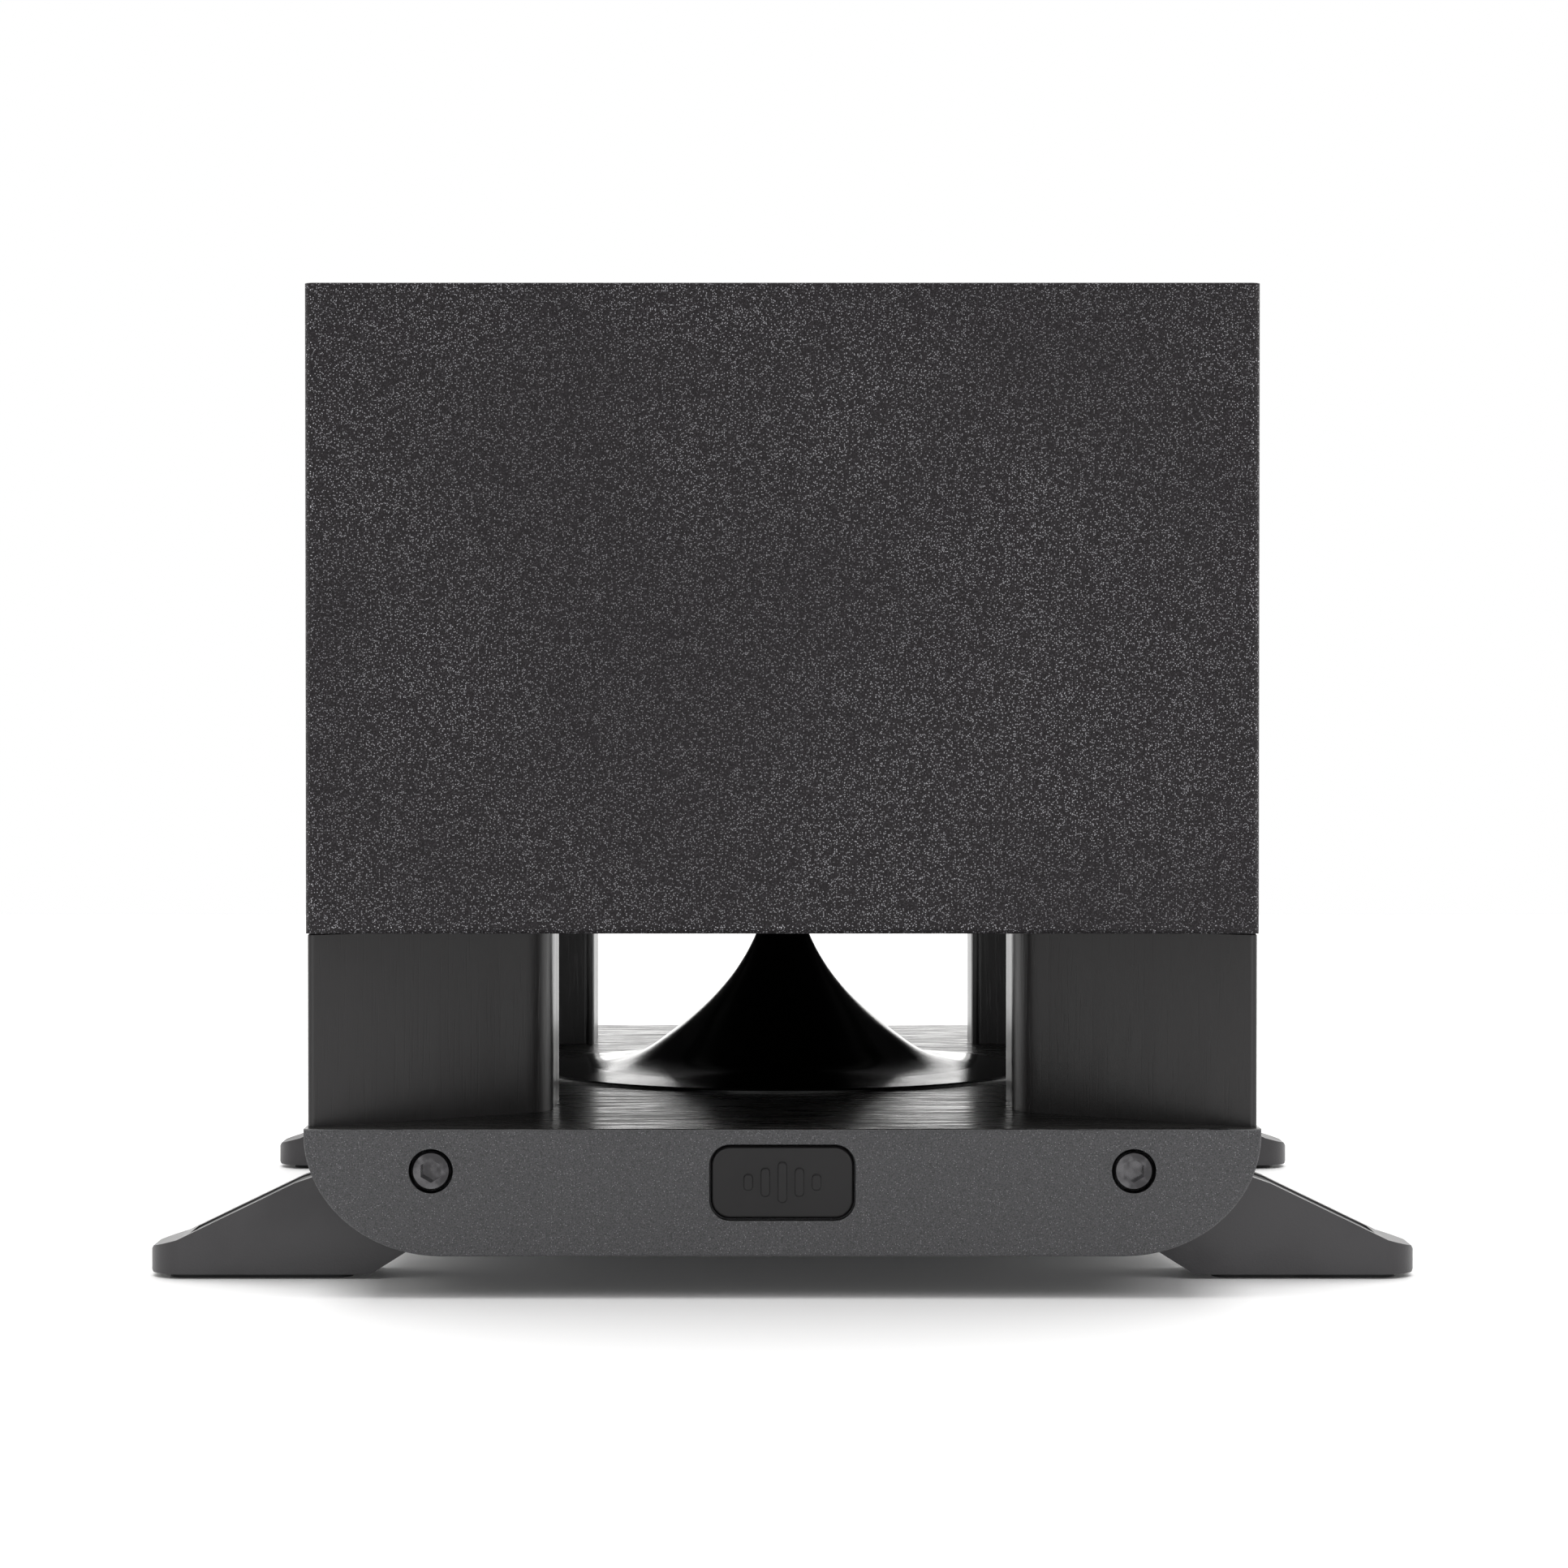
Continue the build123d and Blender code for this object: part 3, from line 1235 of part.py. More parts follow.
leads = []
stud_x = post_spacing / 2
input_spot = (board_x, board_y - 18.0)
lead_x = half_inside - 34.5
for side, step in ((1, 0.0), (-1, 5.0)):
    end_x = input_spot[0] + step
    route = [
        (side * stud_x, y_cup, z_post_top),
        (side * stud_x, y_cup, z_post_top + 14.0 + step),
        (side * stud_x + 20.0, y_cup + 10.0 - step, z_post_top + 21.0 + step),
        (lead_x - 13.0 + step, y_cup + 42.0 - step, z_post_top + 16.0 + step),
        (lead_x + step, y_mid - 34.0, z_post_top + 9.0 + step),
        (lead_x + 2.0 + step, y_mid + 14.0, z_post_top + 5.0 + step),
        (lead_x - 2.0 + step, y_brace - 8.0, z_post_top + 4.0 + step),
        (end_x + 3.0, input_spot[1] - 9.0, z_post_top + 2.0),
        (end_x, input_spot[1], z_post_top - 5.0),
        (end_x, input_spot[1], z_board_top),
    ]
    leads.append(lead(route).part)

across = terminal_direction.cross(Vector(0, 1, 0))
edge_x = board_x - board_size[0] / 2 + 3.0
for side, end_y, turns in (
    (1, board_y + 5.0, ((-14.5, 12.0, 1.5), (-7.0, 6.0, 1.5))),
    (-1, board_y - 3.0, ((-19.5, 18.0, -3.0), (-10.0, 8.0, -2.5))),
):
    start = terminal_seat + terminal_direction * 7.0 + across * (side * tag_spacing / 2)
    bend = start + terminal_direction * 9.0
    landing_spot = Vector(edge_x, end_y, z_board_top + 8.0)
    middle = [landing_spot + Vector(*turn) for turn in turns]
    route = [start, bend] + middle + [landing_spot, Vector(edge_x, end_y, z_board_top)]
    leads.append(lead([(point.X, point.Y, point.Z) for point in route]).part)

y_tweeter_back = y_front + tweeter_plate_back
drop_x = board_x + 2.5
for start_x, end_y, turns in (
    (4.0, board_y - 2.0, ((10.0, 21.0, 25.4), (4.0, 9.0, 13.4))),
    (-4.0, board_y - 9.0, ((3.0, 24.0, 21.4), (1.0, 10.0, 9.4))),
):
    start = Vector(tweeter_offset + start_x, y_tweeter_back, z_drivers - 10.0)
    bend = start - Vector(0, 8.0, 0)
    landing_spot = Vector(drop_x, end_y, z_board_top + 12.0)
    middle = [landing_spot + Vector(*turn) for turn in turns]
    route = [start, bend] + middle + [landing_spot, Vector(drop_x, end_y, z_board_top)]
    leads.append(lead([(point.X, point.Y, point.Z) for point in route]).part)
with BuildPart() as wiring_loom:
    add(leads)
wiring_loom.part.label = "wiring_loom"
export_step(wiring_loom.part, "parts/wiring_loom.step")
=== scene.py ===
"""A compact loudspeaker on swept pillars over a plinth slab, dressed and lit in a pale studio.

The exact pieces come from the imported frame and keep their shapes. What is soft is made here: the
grille's knit, the wadding, the woofer's rubber roll and its spider. Sizes are in metres.
"""

import math

import bmesh
import bpy
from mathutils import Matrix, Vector, noise


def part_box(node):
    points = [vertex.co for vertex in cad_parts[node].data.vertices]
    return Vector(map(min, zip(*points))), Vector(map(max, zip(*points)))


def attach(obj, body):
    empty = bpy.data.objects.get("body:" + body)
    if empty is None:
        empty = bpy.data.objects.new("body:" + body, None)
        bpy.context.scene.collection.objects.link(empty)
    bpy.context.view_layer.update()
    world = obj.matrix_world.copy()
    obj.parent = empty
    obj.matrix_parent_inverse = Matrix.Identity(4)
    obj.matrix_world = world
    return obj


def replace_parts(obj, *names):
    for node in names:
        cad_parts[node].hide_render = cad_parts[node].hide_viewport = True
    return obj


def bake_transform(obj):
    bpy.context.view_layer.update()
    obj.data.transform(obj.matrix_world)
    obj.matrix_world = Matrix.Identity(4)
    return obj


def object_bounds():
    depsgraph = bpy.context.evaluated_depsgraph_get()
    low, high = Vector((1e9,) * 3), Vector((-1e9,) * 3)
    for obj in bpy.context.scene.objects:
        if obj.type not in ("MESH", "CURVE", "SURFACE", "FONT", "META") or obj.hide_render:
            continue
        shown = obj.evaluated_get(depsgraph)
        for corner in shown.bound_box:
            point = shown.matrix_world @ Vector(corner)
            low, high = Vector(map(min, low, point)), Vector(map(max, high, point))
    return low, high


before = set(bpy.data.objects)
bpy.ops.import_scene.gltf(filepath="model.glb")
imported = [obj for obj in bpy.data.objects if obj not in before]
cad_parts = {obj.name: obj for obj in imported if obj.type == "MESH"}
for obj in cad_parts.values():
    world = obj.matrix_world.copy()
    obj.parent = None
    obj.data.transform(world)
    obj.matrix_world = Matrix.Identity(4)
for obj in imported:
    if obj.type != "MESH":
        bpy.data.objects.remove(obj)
cad_box = [list(corner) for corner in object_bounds()]

# ---- studio ----------------------------------------------------------------------------------
# A pale floor, one large soft box overhead, two smaller ones beside the rear face and a low card
# before it. The room is dim on that side and bright beyond the speaker, most of all near the
# floor, so it shines through the channel under the cabinet.
scene = bpy.context.scene
scene.view_settings.view_transform = "Standard"


def add(tree, kind, sockets=None, **settings):
    """A new node with its settings, and its sockets set to numbers or joined to other nodes."""
    made = tree.nodes.new("ShaderNode" + kind)
    for name, value in settings.items():
        setattr(made, name, value)
    for socket, value in (sockets or {}).items():
        if isinstance(value, bpy.types.NodeSocket):
            tree.links.new(value, made.inputs[socket])
        else:
            made.inputs[socket].default_value = value
    return made


def mix(tree, factor, first, second):
    """The colour between two colours or colour sockets, by a factor socket or number."""
    made = add(tree, "Mix", {0: factor, 6: first, 7: second}, data_type="RGBA")
    return made.outputs[2]


def calculate(tree, operation, first, second=0.0):
    """The result of one sum on two values or sockets."""
    made = add(tree, "Math", {0: first, 1: second}, operation=operation)
    return made.outputs[0]


def remap(tree, value, low, high, new_low=0.0, new_high=1.0):
    """A value's stretch from low to high, turned smoothly into new_low to new_high."""
    sockets = {"Value": value, "From Min": low, "From Max": high, "To Min": new_low, "To Max": new_high}
    made = add(tree, "MapRange", sockets, interpolation_type="SMOOTHSTEP")
    return made.outputs[0]


def new_material(name, **shader_values):
    """A material with a Principled shader set to plain values: (material, tree, shader, place)."""
    material = bpy.data.materials.new(name)
    material.use_nodes = True
    tree = material.node_tree
    shader = tree.nodes["Principled BSDF"]
    for socket, value in shader_values.items():
        shader.inputs[socket.replace("_", " ").title().replace("Ior", "IOR")].default_value = value
    place = tree.nodes.new("ShaderNodeTexCoord").outputs["Object"]
    return material, tree, shader, place


def bump(tree, shader, height, distance, strength=1.0):
    """Relief on the shader, of that height in metres."""
    made = add(tree, "Bump", {"Height": height, "Distance": distance, "Strength": strength})
    tree.links.new(made.outputs[0], shader.inputs["Normal"])


floor_size = 3.6
floor_mesh = bpy.data.meshes.new("studio_floor")
shape = bmesh.new()
bmesh.ops.create_grid(shape, x_segments=2, y_segments=2, size=floor_size / 2)
shape.to_mesh(floor_mesh)
shape.free()
studio_floor = bpy.data.objects.new("studio_floor", floor_mesh)
scene.collection.objects.link(studio_floor)
floor_paper, tree, shader, place = new_material(
    "floor_paper", roughness=0.6, emission_color=(1.0, 1.0, 1.0, 1.0), emission_strength=0.022
)
cloud = add(tree, "TexNoise", {"Vector": place, "Scale": 3.0})
tint = mix(tree, cloud.outputs[0], (0.94, 0.94, 0.94, 1), (0.96, 0.96, 0.96, 1))
tree.links.new(tint, shader.inputs["Base Color"])
floor_mesh.materials.append(floor_paper)

world = bpy.data.worlds.new("studio_room")
scene.world = world
world.use_nodes = True
tree = world.node_tree
tree.nodes.clear()
direction = tree.nodes.new("ShaderNodeTexCoord").outputs["Generated"]
split = add(tree, "SeparateXYZ", {0: direction})
dim_side, bright_side = 0.25, 0.85
horizon_glow = 1.2
walls = remap(tree, split.outputs["Y"], -0.75, 0.35, dim_side, bright_side)
slope = calculate(tree, "ABSOLUTE", split.outputs["Z"])
low_band = remap(tree, slope, 0.36, 0.16, 0.0, horizon_glow)
glow = calculate(tree, "MULTIPLY", low_band, remap(tree, split.outputs["Y"], 0.1, 0.6))
room = calculate(tree, "ADD", walls, glow)
room_light = add(tree, "Background", {"Color": (1.0, 0.995, 0.985, 1), "Strength": room})
backdrop = add(tree, "Background", {"Color": (1.0, 1.0, 1.0, 1), "Strength": 1.0})
seen = tree.nodes.new("ShaderNodeLightPath").outputs["Is Camera Ray"]
choice = add(tree, "MixShader", {0: seen, 1: room_light.outputs[0], 2: backdrop.outputs[0]})
sky = tree.nodes.new("ShaderNodeOutputWorld")
tree.links.new(choice.outputs[0], sky.inputs["Surface"])

low, high = (Vector(corner) for corner in cad_box)
middle = (low + high) / 2
for name, spot, size, power, colour in (
    ("soft_box_right", (1.05, -1.0, 1.15), (0.9, 0.9), 5.0, (1.0, 0.98, 1.0)),
    ("soft_box_left", (-1.25, -0.9, 1.3), (0.8, 0.8), 2.6, (1.0, 0.99, 0.97)),
    ("low_card", (0.0, -1.6, 0.13), (1.5, 0.26), 2.2, (0.98, 0.99, 1.0)),
    ("soft_box_top", (0.0, 0.3, 2.2), (2.6, 2.6), 68.0, (1.0, 1.0, 1.0)),
):
    light = bpy.data.lights.new(name, "AREA")
    light.shape = "RECTANGLE"
    light.size, light.size_y = size
    light.energy = power
    light.color = colour
    lamp = bpy.data.objects.new(name, light)
    lamp.location = spot
    lamp.rotation_euler = (middle - Vector(spot)).to_track_quat("-Z", "Y").to_euler()
    scene.collection.objects.link(lamp)

camera_back = 0.8973      # lens to the rear face
camera_height = 0.1379
camera_drop = 0.0122      # how far it looks below the level, in radians
camera = bpy.data.objects.new("studio_camera", bpy.data.cameras.new("studio_camera"))
camera.data.sensor_width = 36.0
camera.data.lens = 83.8
camera.location = (0.0004, low.y - camera_back, camera_height)
camera.rotation_euler = (math.pi / 2 - camera_drop, 0, 0)
scene.collection.objects.link(camera)
scene.camera = camera


# ---- rear panel, front baffle and cabinet floor ----------------------------------------------
# Fibreboard wrapped in pebbled black vinyl. The film has a fine crushed grain, and pale points
# are painted into its colour on the grain tips as painted glints, where the light would catch.
def new_group(name, numbers, outputs):
    """A node group that takes a place and some numbers: (the group, its inputs, its end)."""
    tree = bpy.data.node_groups.new(name, "ShaderNodeTree")
    tree.interface.new_socket("Vector", in_out="INPUT", socket_type="NodeSocketVector")
    for number, value in numbers.items():
        made = tree.interface.new_socket(number, in_out="INPUT", socket_type="NodeSocketFloat")
        made.default_value = value
    for output in outputs:
        tree.interface.new_socket(output, in_out="OUTPUT", socket_type="NodeSocketFloat")
    start = tree.nodes.new("NodeGroupInput")
    return tree, start.outputs, tree.nodes.new("NodeGroupOutput")


def use(tree, group, place, **numbers):
    """The group's outputs, placed in a material with that material's own numbers."""
    made = tree.nodes.new("ShaderNodeGroup")
    made.node_tree = group
    tree.links.new(place, made.inputs["Vector"])
    for name, value in numbers.items():
        made.inputs[name].default_value = value
    return made.outputs


def dress(material, *names):
    """Gives CAD pieces their finish."""
    for name in names:
        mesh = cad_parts[name].data
        mesh.materials.clear()
        mesh.materials.append(material)


# Crushed grain: Height is the relief, Cloud a slow change of tone, and the glint output marks
# painted highlights, pale points on the grain tips.
crushed_grain, given, end = new_group(
    "crushed_grain", {"Grains": 1500.0, "Glints": 0.12}, ("Height", "PaintedGlint", "Cloud")
)
tree = crushed_grain
coarse = add(tree, "TexNoise", {"Vector": given["Vector"], "Scale": given["Grains"], "Detail": 3.0})
cells = add(tree, "TexVoronoi", {"Vector": given["Vector"], "Scale": given["Grains"]})
dent = calculate(tree, "MULTIPLY", cells.outputs[0], 0.5)
tree.links.new(calculate(tree, "SUBTRACT", coarse.outputs[0], dent), end.inputs["Height"])
lot = add(tree, "SeparateColor", {0: cells.outputs["Color"]})
chosen = calculate(tree, "LESS_THAN", lot.outputs[0], given["Glints"])
strength = calculate(tree, "POWER", lot.outputs[1], 1.6)
tip = calculate(tree, "MULTIPLY", remap(tree, cells.outputs[0], 0.50, 0.10), strength)
tree.links.new(calculate(tree, "MULTIPLY", chosen, tip), end.inputs["PaintedGlint"])
slow = add(tree, "TexNoise", {"Vector": given["Vector"], "Scale": 14.0, "Detail": 2.0})
tree.links.new(slow.outputs[0], end.inputs["Cloud"])

vinyl, tree, shader, place = new_material(
    "textured_vinyl", specular_ior_level=0.35, specular_tint=(1.0, 0.94, 0.98, 1.0)
)
grain = use(tree, crushed_grain, place, Grains=2500.0, Glints=0.55)
contrast = remap(tree, grain["Height"], 0.05, 0.75)
shade = mix(tree, contrast, (0.0010, 0.0008, 0.0011, 1), (0.027, 0.024, 0.028, 1))
shade = mix(tree, calculate(tree, "MULTIPLY", grain["Cloud"], 0.25), shade, (0.012, 0.010, 0.010, 1))
spread = remap(tree, grain["Cloud"], 0.30, 0.70, 0.55, 1.0)
# Painted glints: pale points mixed into the vinyl's colour as highlights.
shade = mix(tree, calculate(tree, "MULTIPLY", grain["PaintedGlint"], spread), shade, (0.95, 0.95, 1.0, 1))
tree.links.new(shade, shader.inputs["Base Color"])
tree.links.new(remap(tree, grain["Height"], 0.1, 0.7, 0.62, 0.42), shader.inputs["Roughness"])
bump(tree, shader, grain["Height"], 0.00020)
dress(vinyl, "rear_panel", "front_baffle", "cabinet_bottom_panel")


# ---- cabinet sides and top -------------------------------------------------------------------
# Boards faced in black-stained ash veneer. The grain climbs the sides and crosses the top, so it
# wraps round the cabinet in one direction.
wood_grain, given, end = new_group(
    "wood_grain", {"Figure": 26.0, "Pores": 900.0}, ("Streak", "Pore", "Height")
)
tree = wood_grain
drift = add(tree, "TexNoise", {"Vector": given["Vector"], "Scale": 3.0, "Detail": 2.0})
bent = add(tree, "VectorMath", {0: drift.outputs["Color"], 1: (0.0, 0.012, 0.012)}, operation="MULTIPLY")
along = add(tree, "VectorMath", {0: given["Vector"], 1: bent.outputs[0]}, operation="ADD")
figure = add(tree, "Mapping", {"Vector": along.outputs[0], "Scale": (0.06, 1.0, 1.0)})
streak = add(
    tree, "TexNoise",
    {"Vector": figure.outputs[0], "Scale": given["Figure"], "Detail": 6.0, "Roughness": 0.7},
)
fibre = add(tree, "Mapping", {"Vector": along.outputs[0], "Scale": (0.035, 1.0, 1.0)})
pore = add(tree, "TexNoise", {"Vector": fibre.outputs[0], "Scale": given["Pores"], "Detail": 2.0})
open_pore = remap(tree, pore.outputs[0], 0.56, 0.66)
tree.links.new(remap(tree, streak.outputs[0], 0.3, 0.7), end.inputs["Streak"])
tree.links.new(open_pore, end.inputs["Pore"])
level = calculate(tree, "SUBTRACT", calculate(tree, "MULTIPLY", pore.outputs[0], 0.6), open_pore)
tree.links.new(level, end.inputs["Height"])


def veneer(name, turn):
    """Black ash whose grain runs along the piece's X after that turn."""
    material, tree, shader, place = new_material(name, roughness=0.4)
    turned = add(tree, "Mapping", {"Vector": place, "Rotation": turn})
    wood = use(tree, wood_grain, turned.outputs[0], Figure=210.0, Pores=1800.0)
    shade = mix(tree, wood["Streak"], (0.010, 0.0095, 0.009, 1), (0.024, 0.023, 0.022, 1))
    shade = mix(tree, calculate(tree, "MULTIPLY", wood["Pore"], 0.7), shade, (0.004, 0.004, 0.004, 1))
    tree.links.new(shade, shader.inputs["Base Color"])
    tree.links.new(remap(tree, wood["Pore"], 0.0, 1.0, 0.36, 0.62), shader.inputs["Roughness"])
    bump(tree, shader, wood["Height"], 0.00012, 0.8)
    return material


side_veneer = veneer("side_veneer", (0, math.pi / 2, 0))
top_veneer = veneer("top_veneer", (0, 0, 0))
dress(side_veneer, "cabinet_left_panel", "cabinet_right_panel")
dress(top_veneer, "cabinet_top_panel")


# ---- inner brace -----------------------------------------------------------------------------
# A bare fibreboard frame glued across the inside of the box: fine pressed fibres, sawn edges.
pressed_fibre, given, end = new_group(
    "pressed_fibre", {"Fibres": 900.0}, ("Fibre", "Height")
)
tree = pressed_fibre
tangle = add(tree, "TexNoise", {"Vector": given["Vector"], "Scale": 60.0, "Detail": 2.0})
drift = {0: tangle.outputs["Color"], 1: (0.02, 0.02, 0.02)}
swirl = add(tree, "VectorMath", drift, operation="MULTIPLY")
moved = add(tree, "VectorMath", {0: given["Vector"], 1: swirl.outputs[0]}, operation="ADD")
hair = add(tree, "TexNoise", {"Vector": moved.outputs[0], "Scale": given["Fibres"], "Detail": 5.0})
tree.links.new(remap(tree, hair.outputs[0], 0.38, 0.62), end.inputs["Fibre"])
tree.links.new(hair.outputs[0], end.inputs["Height"])

bare_board, tree, shader, place = new_material("raw_board", roughness=0.85)
board = use(tree, pressed_fibre, place, Fibres=1100.0)
shade = mix(tree, board["Fibre"], (0.30, 0.20, 0.12, 1), (0.46, 0.34, 0.22, 1))
tree.links.new(shade, shader.inputs["Base Color"])
bump(tree, shader, board["Height"], 0.0001)
dress(bare_board, "inner_brace")


# ---- wadding ---------------------------------------------------------------------------------
# White polyester wadding, cut in strips and stuck to the walls inside the cabinet. It swells
# between its edges and never lies flat.
wadding_fluff, tree, shader, place = new_material("wadding_fluff", roughness=0.95, sheen_weight=0.4)
fluff = use(tree, pressed_fibre, place, Fibres=500.0)
shade = mix(tree, fluff["Fibre"], (0.58, 0.57, 0.54, 1), (0.80, 0.79, 0.76, 1))
tree.links.new(shade, shader.inputs["Base Color"])
bump(tree, shader, fluff["Height"], 0.0006)

loft = 0.35               # share of the thickness that the edges lose
edge_fall = 6             # how late towards the edges it thins
lump_depth = 0.12         # share of the thickness
lump_pitch = 2.6          # lumps across half a strip
edge_draw = 0.02          # share of its width by which an edge pulls in


def wadding_pad(name, low, high, thin_axis):
    """A strip of wadding that fills the box from low to high, thin along one axis."""
    shape = bmesh.new()
    bmesh.ops.create_cube(shape, size=2.0)
    bmesh.ops.subdivide_edges(shape, edges=shape.edges[:], cuts=31, use_grid_fill=True)
    half = (high - low) / 2
    centre = (high + low) / 2
    for point in shape.verts:
        flat = [point.co[axis] for axis in range(3) if axis != thin_axis]
        crown = (1 - flat[0] ** edge_fall) * (1 - flat[1] ** edge_fall)
        lump = noise.noise(point.co * lump_pitch + Vector((0, 0, thin_axis)))
        swell = (1 - loft) + loft * crown - lump_depth * abs(lump)
        point.co[thin_axis] *= swell
        for axis in range(3):
            round_off = 1 - edge_draw * (1 - crown) if axis != thin_axis else 1.0
            point.co[axis] = centre[axis] + half[axis] * point.co[axis] * round_off
    mesh = bpy.data.meshes.new(name)
    shape.to_mesh(mesh)
    shape.free()
    mesh.materials.append(wadding_fluff)
    mesh.polygons.foreach_set("use_smooth", [True] * len(mesh.polygons))
    piece = bpy.data.objects.new(name, mesh)
    scene.collection.objects.link(piece)
    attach(piece, "cabinet")
    return piece


side_pad = 0.0162         # thickness of the strips on the side walls
pad_low, pad_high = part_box("wadding_rear")
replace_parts(wadding_pad("wadding_rear_pad", pad_low, pad_high, 1), "wadding_rear")
pad_low, pad_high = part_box("wadding_sides")
left_pad = wadding_pad(
    "wadding_left_pad", pad_low, Vector((pad_low.x + side_pad, pad_high.y, pad_high.z)), 0
)
right_pad = wadding_pad(
    "wadding_right_pad", Vector((pad_high.x - side_pad, pad_low.y, pad_low.z)), pad_high, 0
)
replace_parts(left_pad, "wadding_sides")
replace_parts(right_pad, "wadding_sides")


# ---- port, terminal cup and other satin mouldings --------------------------------------------
# Injection-moulded in black plastic with a fine spark-eroded skin, screwed on from outside.
moulded_skin, given, end = new_group(
    "moulded_skin", {"Grain": 2600.0, "Marks": 40.0}, ("Height", "Rub", "Tone")
)
tree = moulded_skin
spark = add(tree, "TexNoise", {"Vector": given["Vector"], "Scale": given["Grain"], "Detail": 2.0})
tree.links.new(spark.outputs[0], end.inputs["Height"])
rub = add(tree, "TexNoise", {"Vector": given["Vector"], "Scale": given["Marks"], "Detail": 5.0})
tree.links.new(remap(tree, rub.outputs[0], 0.42, 0.68), end.inputs["Rub"])
tone = add(tree, "TexNoise", {"Vector": given["Vector"], "Scale": 9.0, "Detail": 1.0})
tree.links.new(tone.outputs[0], end.inputs["Tone"])


def moulding(name, dark, pale, smooth, rough, relief, grain=2600.0, **shader_values):
    """A moulded or coated skin between two tones and two roughnesses."""
    material, tree, shader, place = new_material(name, **shader_values)
    skin = use(tree, moulded_skin, place, Grain=grain)
    shade = mix(tree, skin["Tone"], (*dark, 1), (*pale, 1))
    speck = mix(tree, calculate(tree, "MULTIPLY", skin["Height"], 0.35), shade, (*pale, 1))
    tree.links.new(speck, shader.inputs["Base Color"])
    tree.links.new(remap(tree, skin["Rub"], 0.0, 1.0, smooth, rough), shader.inputs["Roughness"])
    bump(tree, shader, skin["Height"], relief)
    return material


satin_black = moulding(
    "satin_black", (0.009, 0.0085, 0.009), (0.016, 0.015, 0.016), 0.38, 0.46, 0.00004
)
dress(satin_black, "port_tube", "terminal_cup", "tweeter_faceplate", "woofer_gasket", "grille_frame")


# ---- diffuser --------------------------------------------------------------------------------
# A trumpet-shaped moulding on the slab that turns the port's air outwards. Its skin is smoother
# and deeper black than the other mouldings, with a soft sheen along its flanks.
diffuser_black = moulding(
    "diffuser_black", (0.0008, 0.0008, 0.0008), (0.0016, 0.0015, 0.0015), 0.13, 0.20, 0.00001
)
dress(diffuser_black, "port_diffuser_cone")


# ---- pillars ---------------------------------------------------------------------------------
# Four swept uprights in satin black lacquer, bolted to the slab from below. The lacquer is laid
# over a close upright grain that shows in its sheen.
pillar_lacquer, tree, shader, place = new_material(
    "pillar_lacquer", specular_ior_level=0.4, coat_weight=0.12, coat_roughness=0.25
)
upright = add(tree, "Mapping", {"Vector": place, "Rotation": (0, math.pi / 2, 0)})
wood = use(tree, wood_grain, upright.outputs[0], Figure=120.0, Pores=1500.0)
skin = use(tree, moulded_skin, place, Grain=3000.0)
shade = mix(tree, wood["Streak"], (0.013, 0.012, 0.0122, 1), (0.019, 0.0176, 0.018, 1))
tree.links.new(shade, shader.inputs["Base Color"])
tree.links.new(remap(tree, wood["Streak"], 0.0, 1.0, 0.28, 0.36), shader.inputs["Roughness"])
bump(tree, shader, calculate(tree, "ADD", wood["Height"], skin["Height"]), 0.00002)
dress(
    pillar_lacquer, "pillar_rear_left", "pillar_rear_right", "pillar_front_left", "pillar_front_right"
)


# ---- plinth slab -----------------------------------------------------------------------------
# A board with black ash veneer on its top, its grain across the speaker, and fine textured paint
# round its ends and its curved lower edges.
slab_finish, tree, shader, place = new_material("slab_finish")
wood = use(tree, wood_grain, place, Figure=620.0, Pores=1300.0)
veneer_shade = mix(tree, wood["Streak"], (0.003, 0.003, 0.003, 1), (0.022, 0.021, 0.020, 1))
veneer_shade = mix(tree, wood["Pore"], veneer_shade, (0.004, 0.004, 0.004, 1))
paint = use(tree, crushed_grain, place, Grains=3200.0, Glints=0.16)
paint_shade = mix(tree, paint["Height"], (0.026, 0.026, 0.028, 1), (0.135, 0.134, 0.141, 1))
# Painted glints: pale points mixed into the paint's colour as highlights.
spark = calculate(tree, "MULTIPLY", paint["PaintedGlint"], 0.5)
paint_shade = mix(tree, spark, paint_shade, (0.50, 0.50, 0.52, 1))
facing = add(tree, "SeparateXYZ", {0: tree.nodes.new("ShaderNodeTexCoord").outputs["Normal"]})
on_top = remap(tree, facing.outputs["Z"], 0.6, 0.9)
tree.links.new(mix(tree, on_top, paint_shade, veneer_shade), shader.inputs["Base Color"])
veneer_rough = remap(tree, wood["Streak"], 0.0, 1.0, 0.14, 0.44)
paint_rough = remap(tree, paint["Height"], 0.1, 0.8, 0.55, 0.42)
rough = add(tree, "Mix", {0: on_top, 2: paint_rough, 3: veneer_rough}, data_type="FLOAT")
tree.links.new(rough.outputs[0], shader.inputs["Roughness"])
relief = add(
    tree, "Mix", {0: on_top, 2: calculate(tree, "MULTIPLY", paint["Height"], 0.6), 3: wood["Height"]},
    data_type="FLOAT",
)
bump(tree, shader, relief.outputs[0], 0.00016, 0.8)
dress(slab_finish, "plinth_slab")


# ---- badge -----------------------------------------------------------------------------------
# A small black moulding let into the slab's end, with a plain row of five raised bars. It is
# glossy, with faint wipe marks.
badge_gloss = moulding(
    "badge_gloss", (0.006, 0.0055, 0.006), (0.010, 0.0092, 0.0096), 0.14, 0.26, 0.00001,
    specular_ior_level=0.25,
)
dress(badge_gloss, "badge")


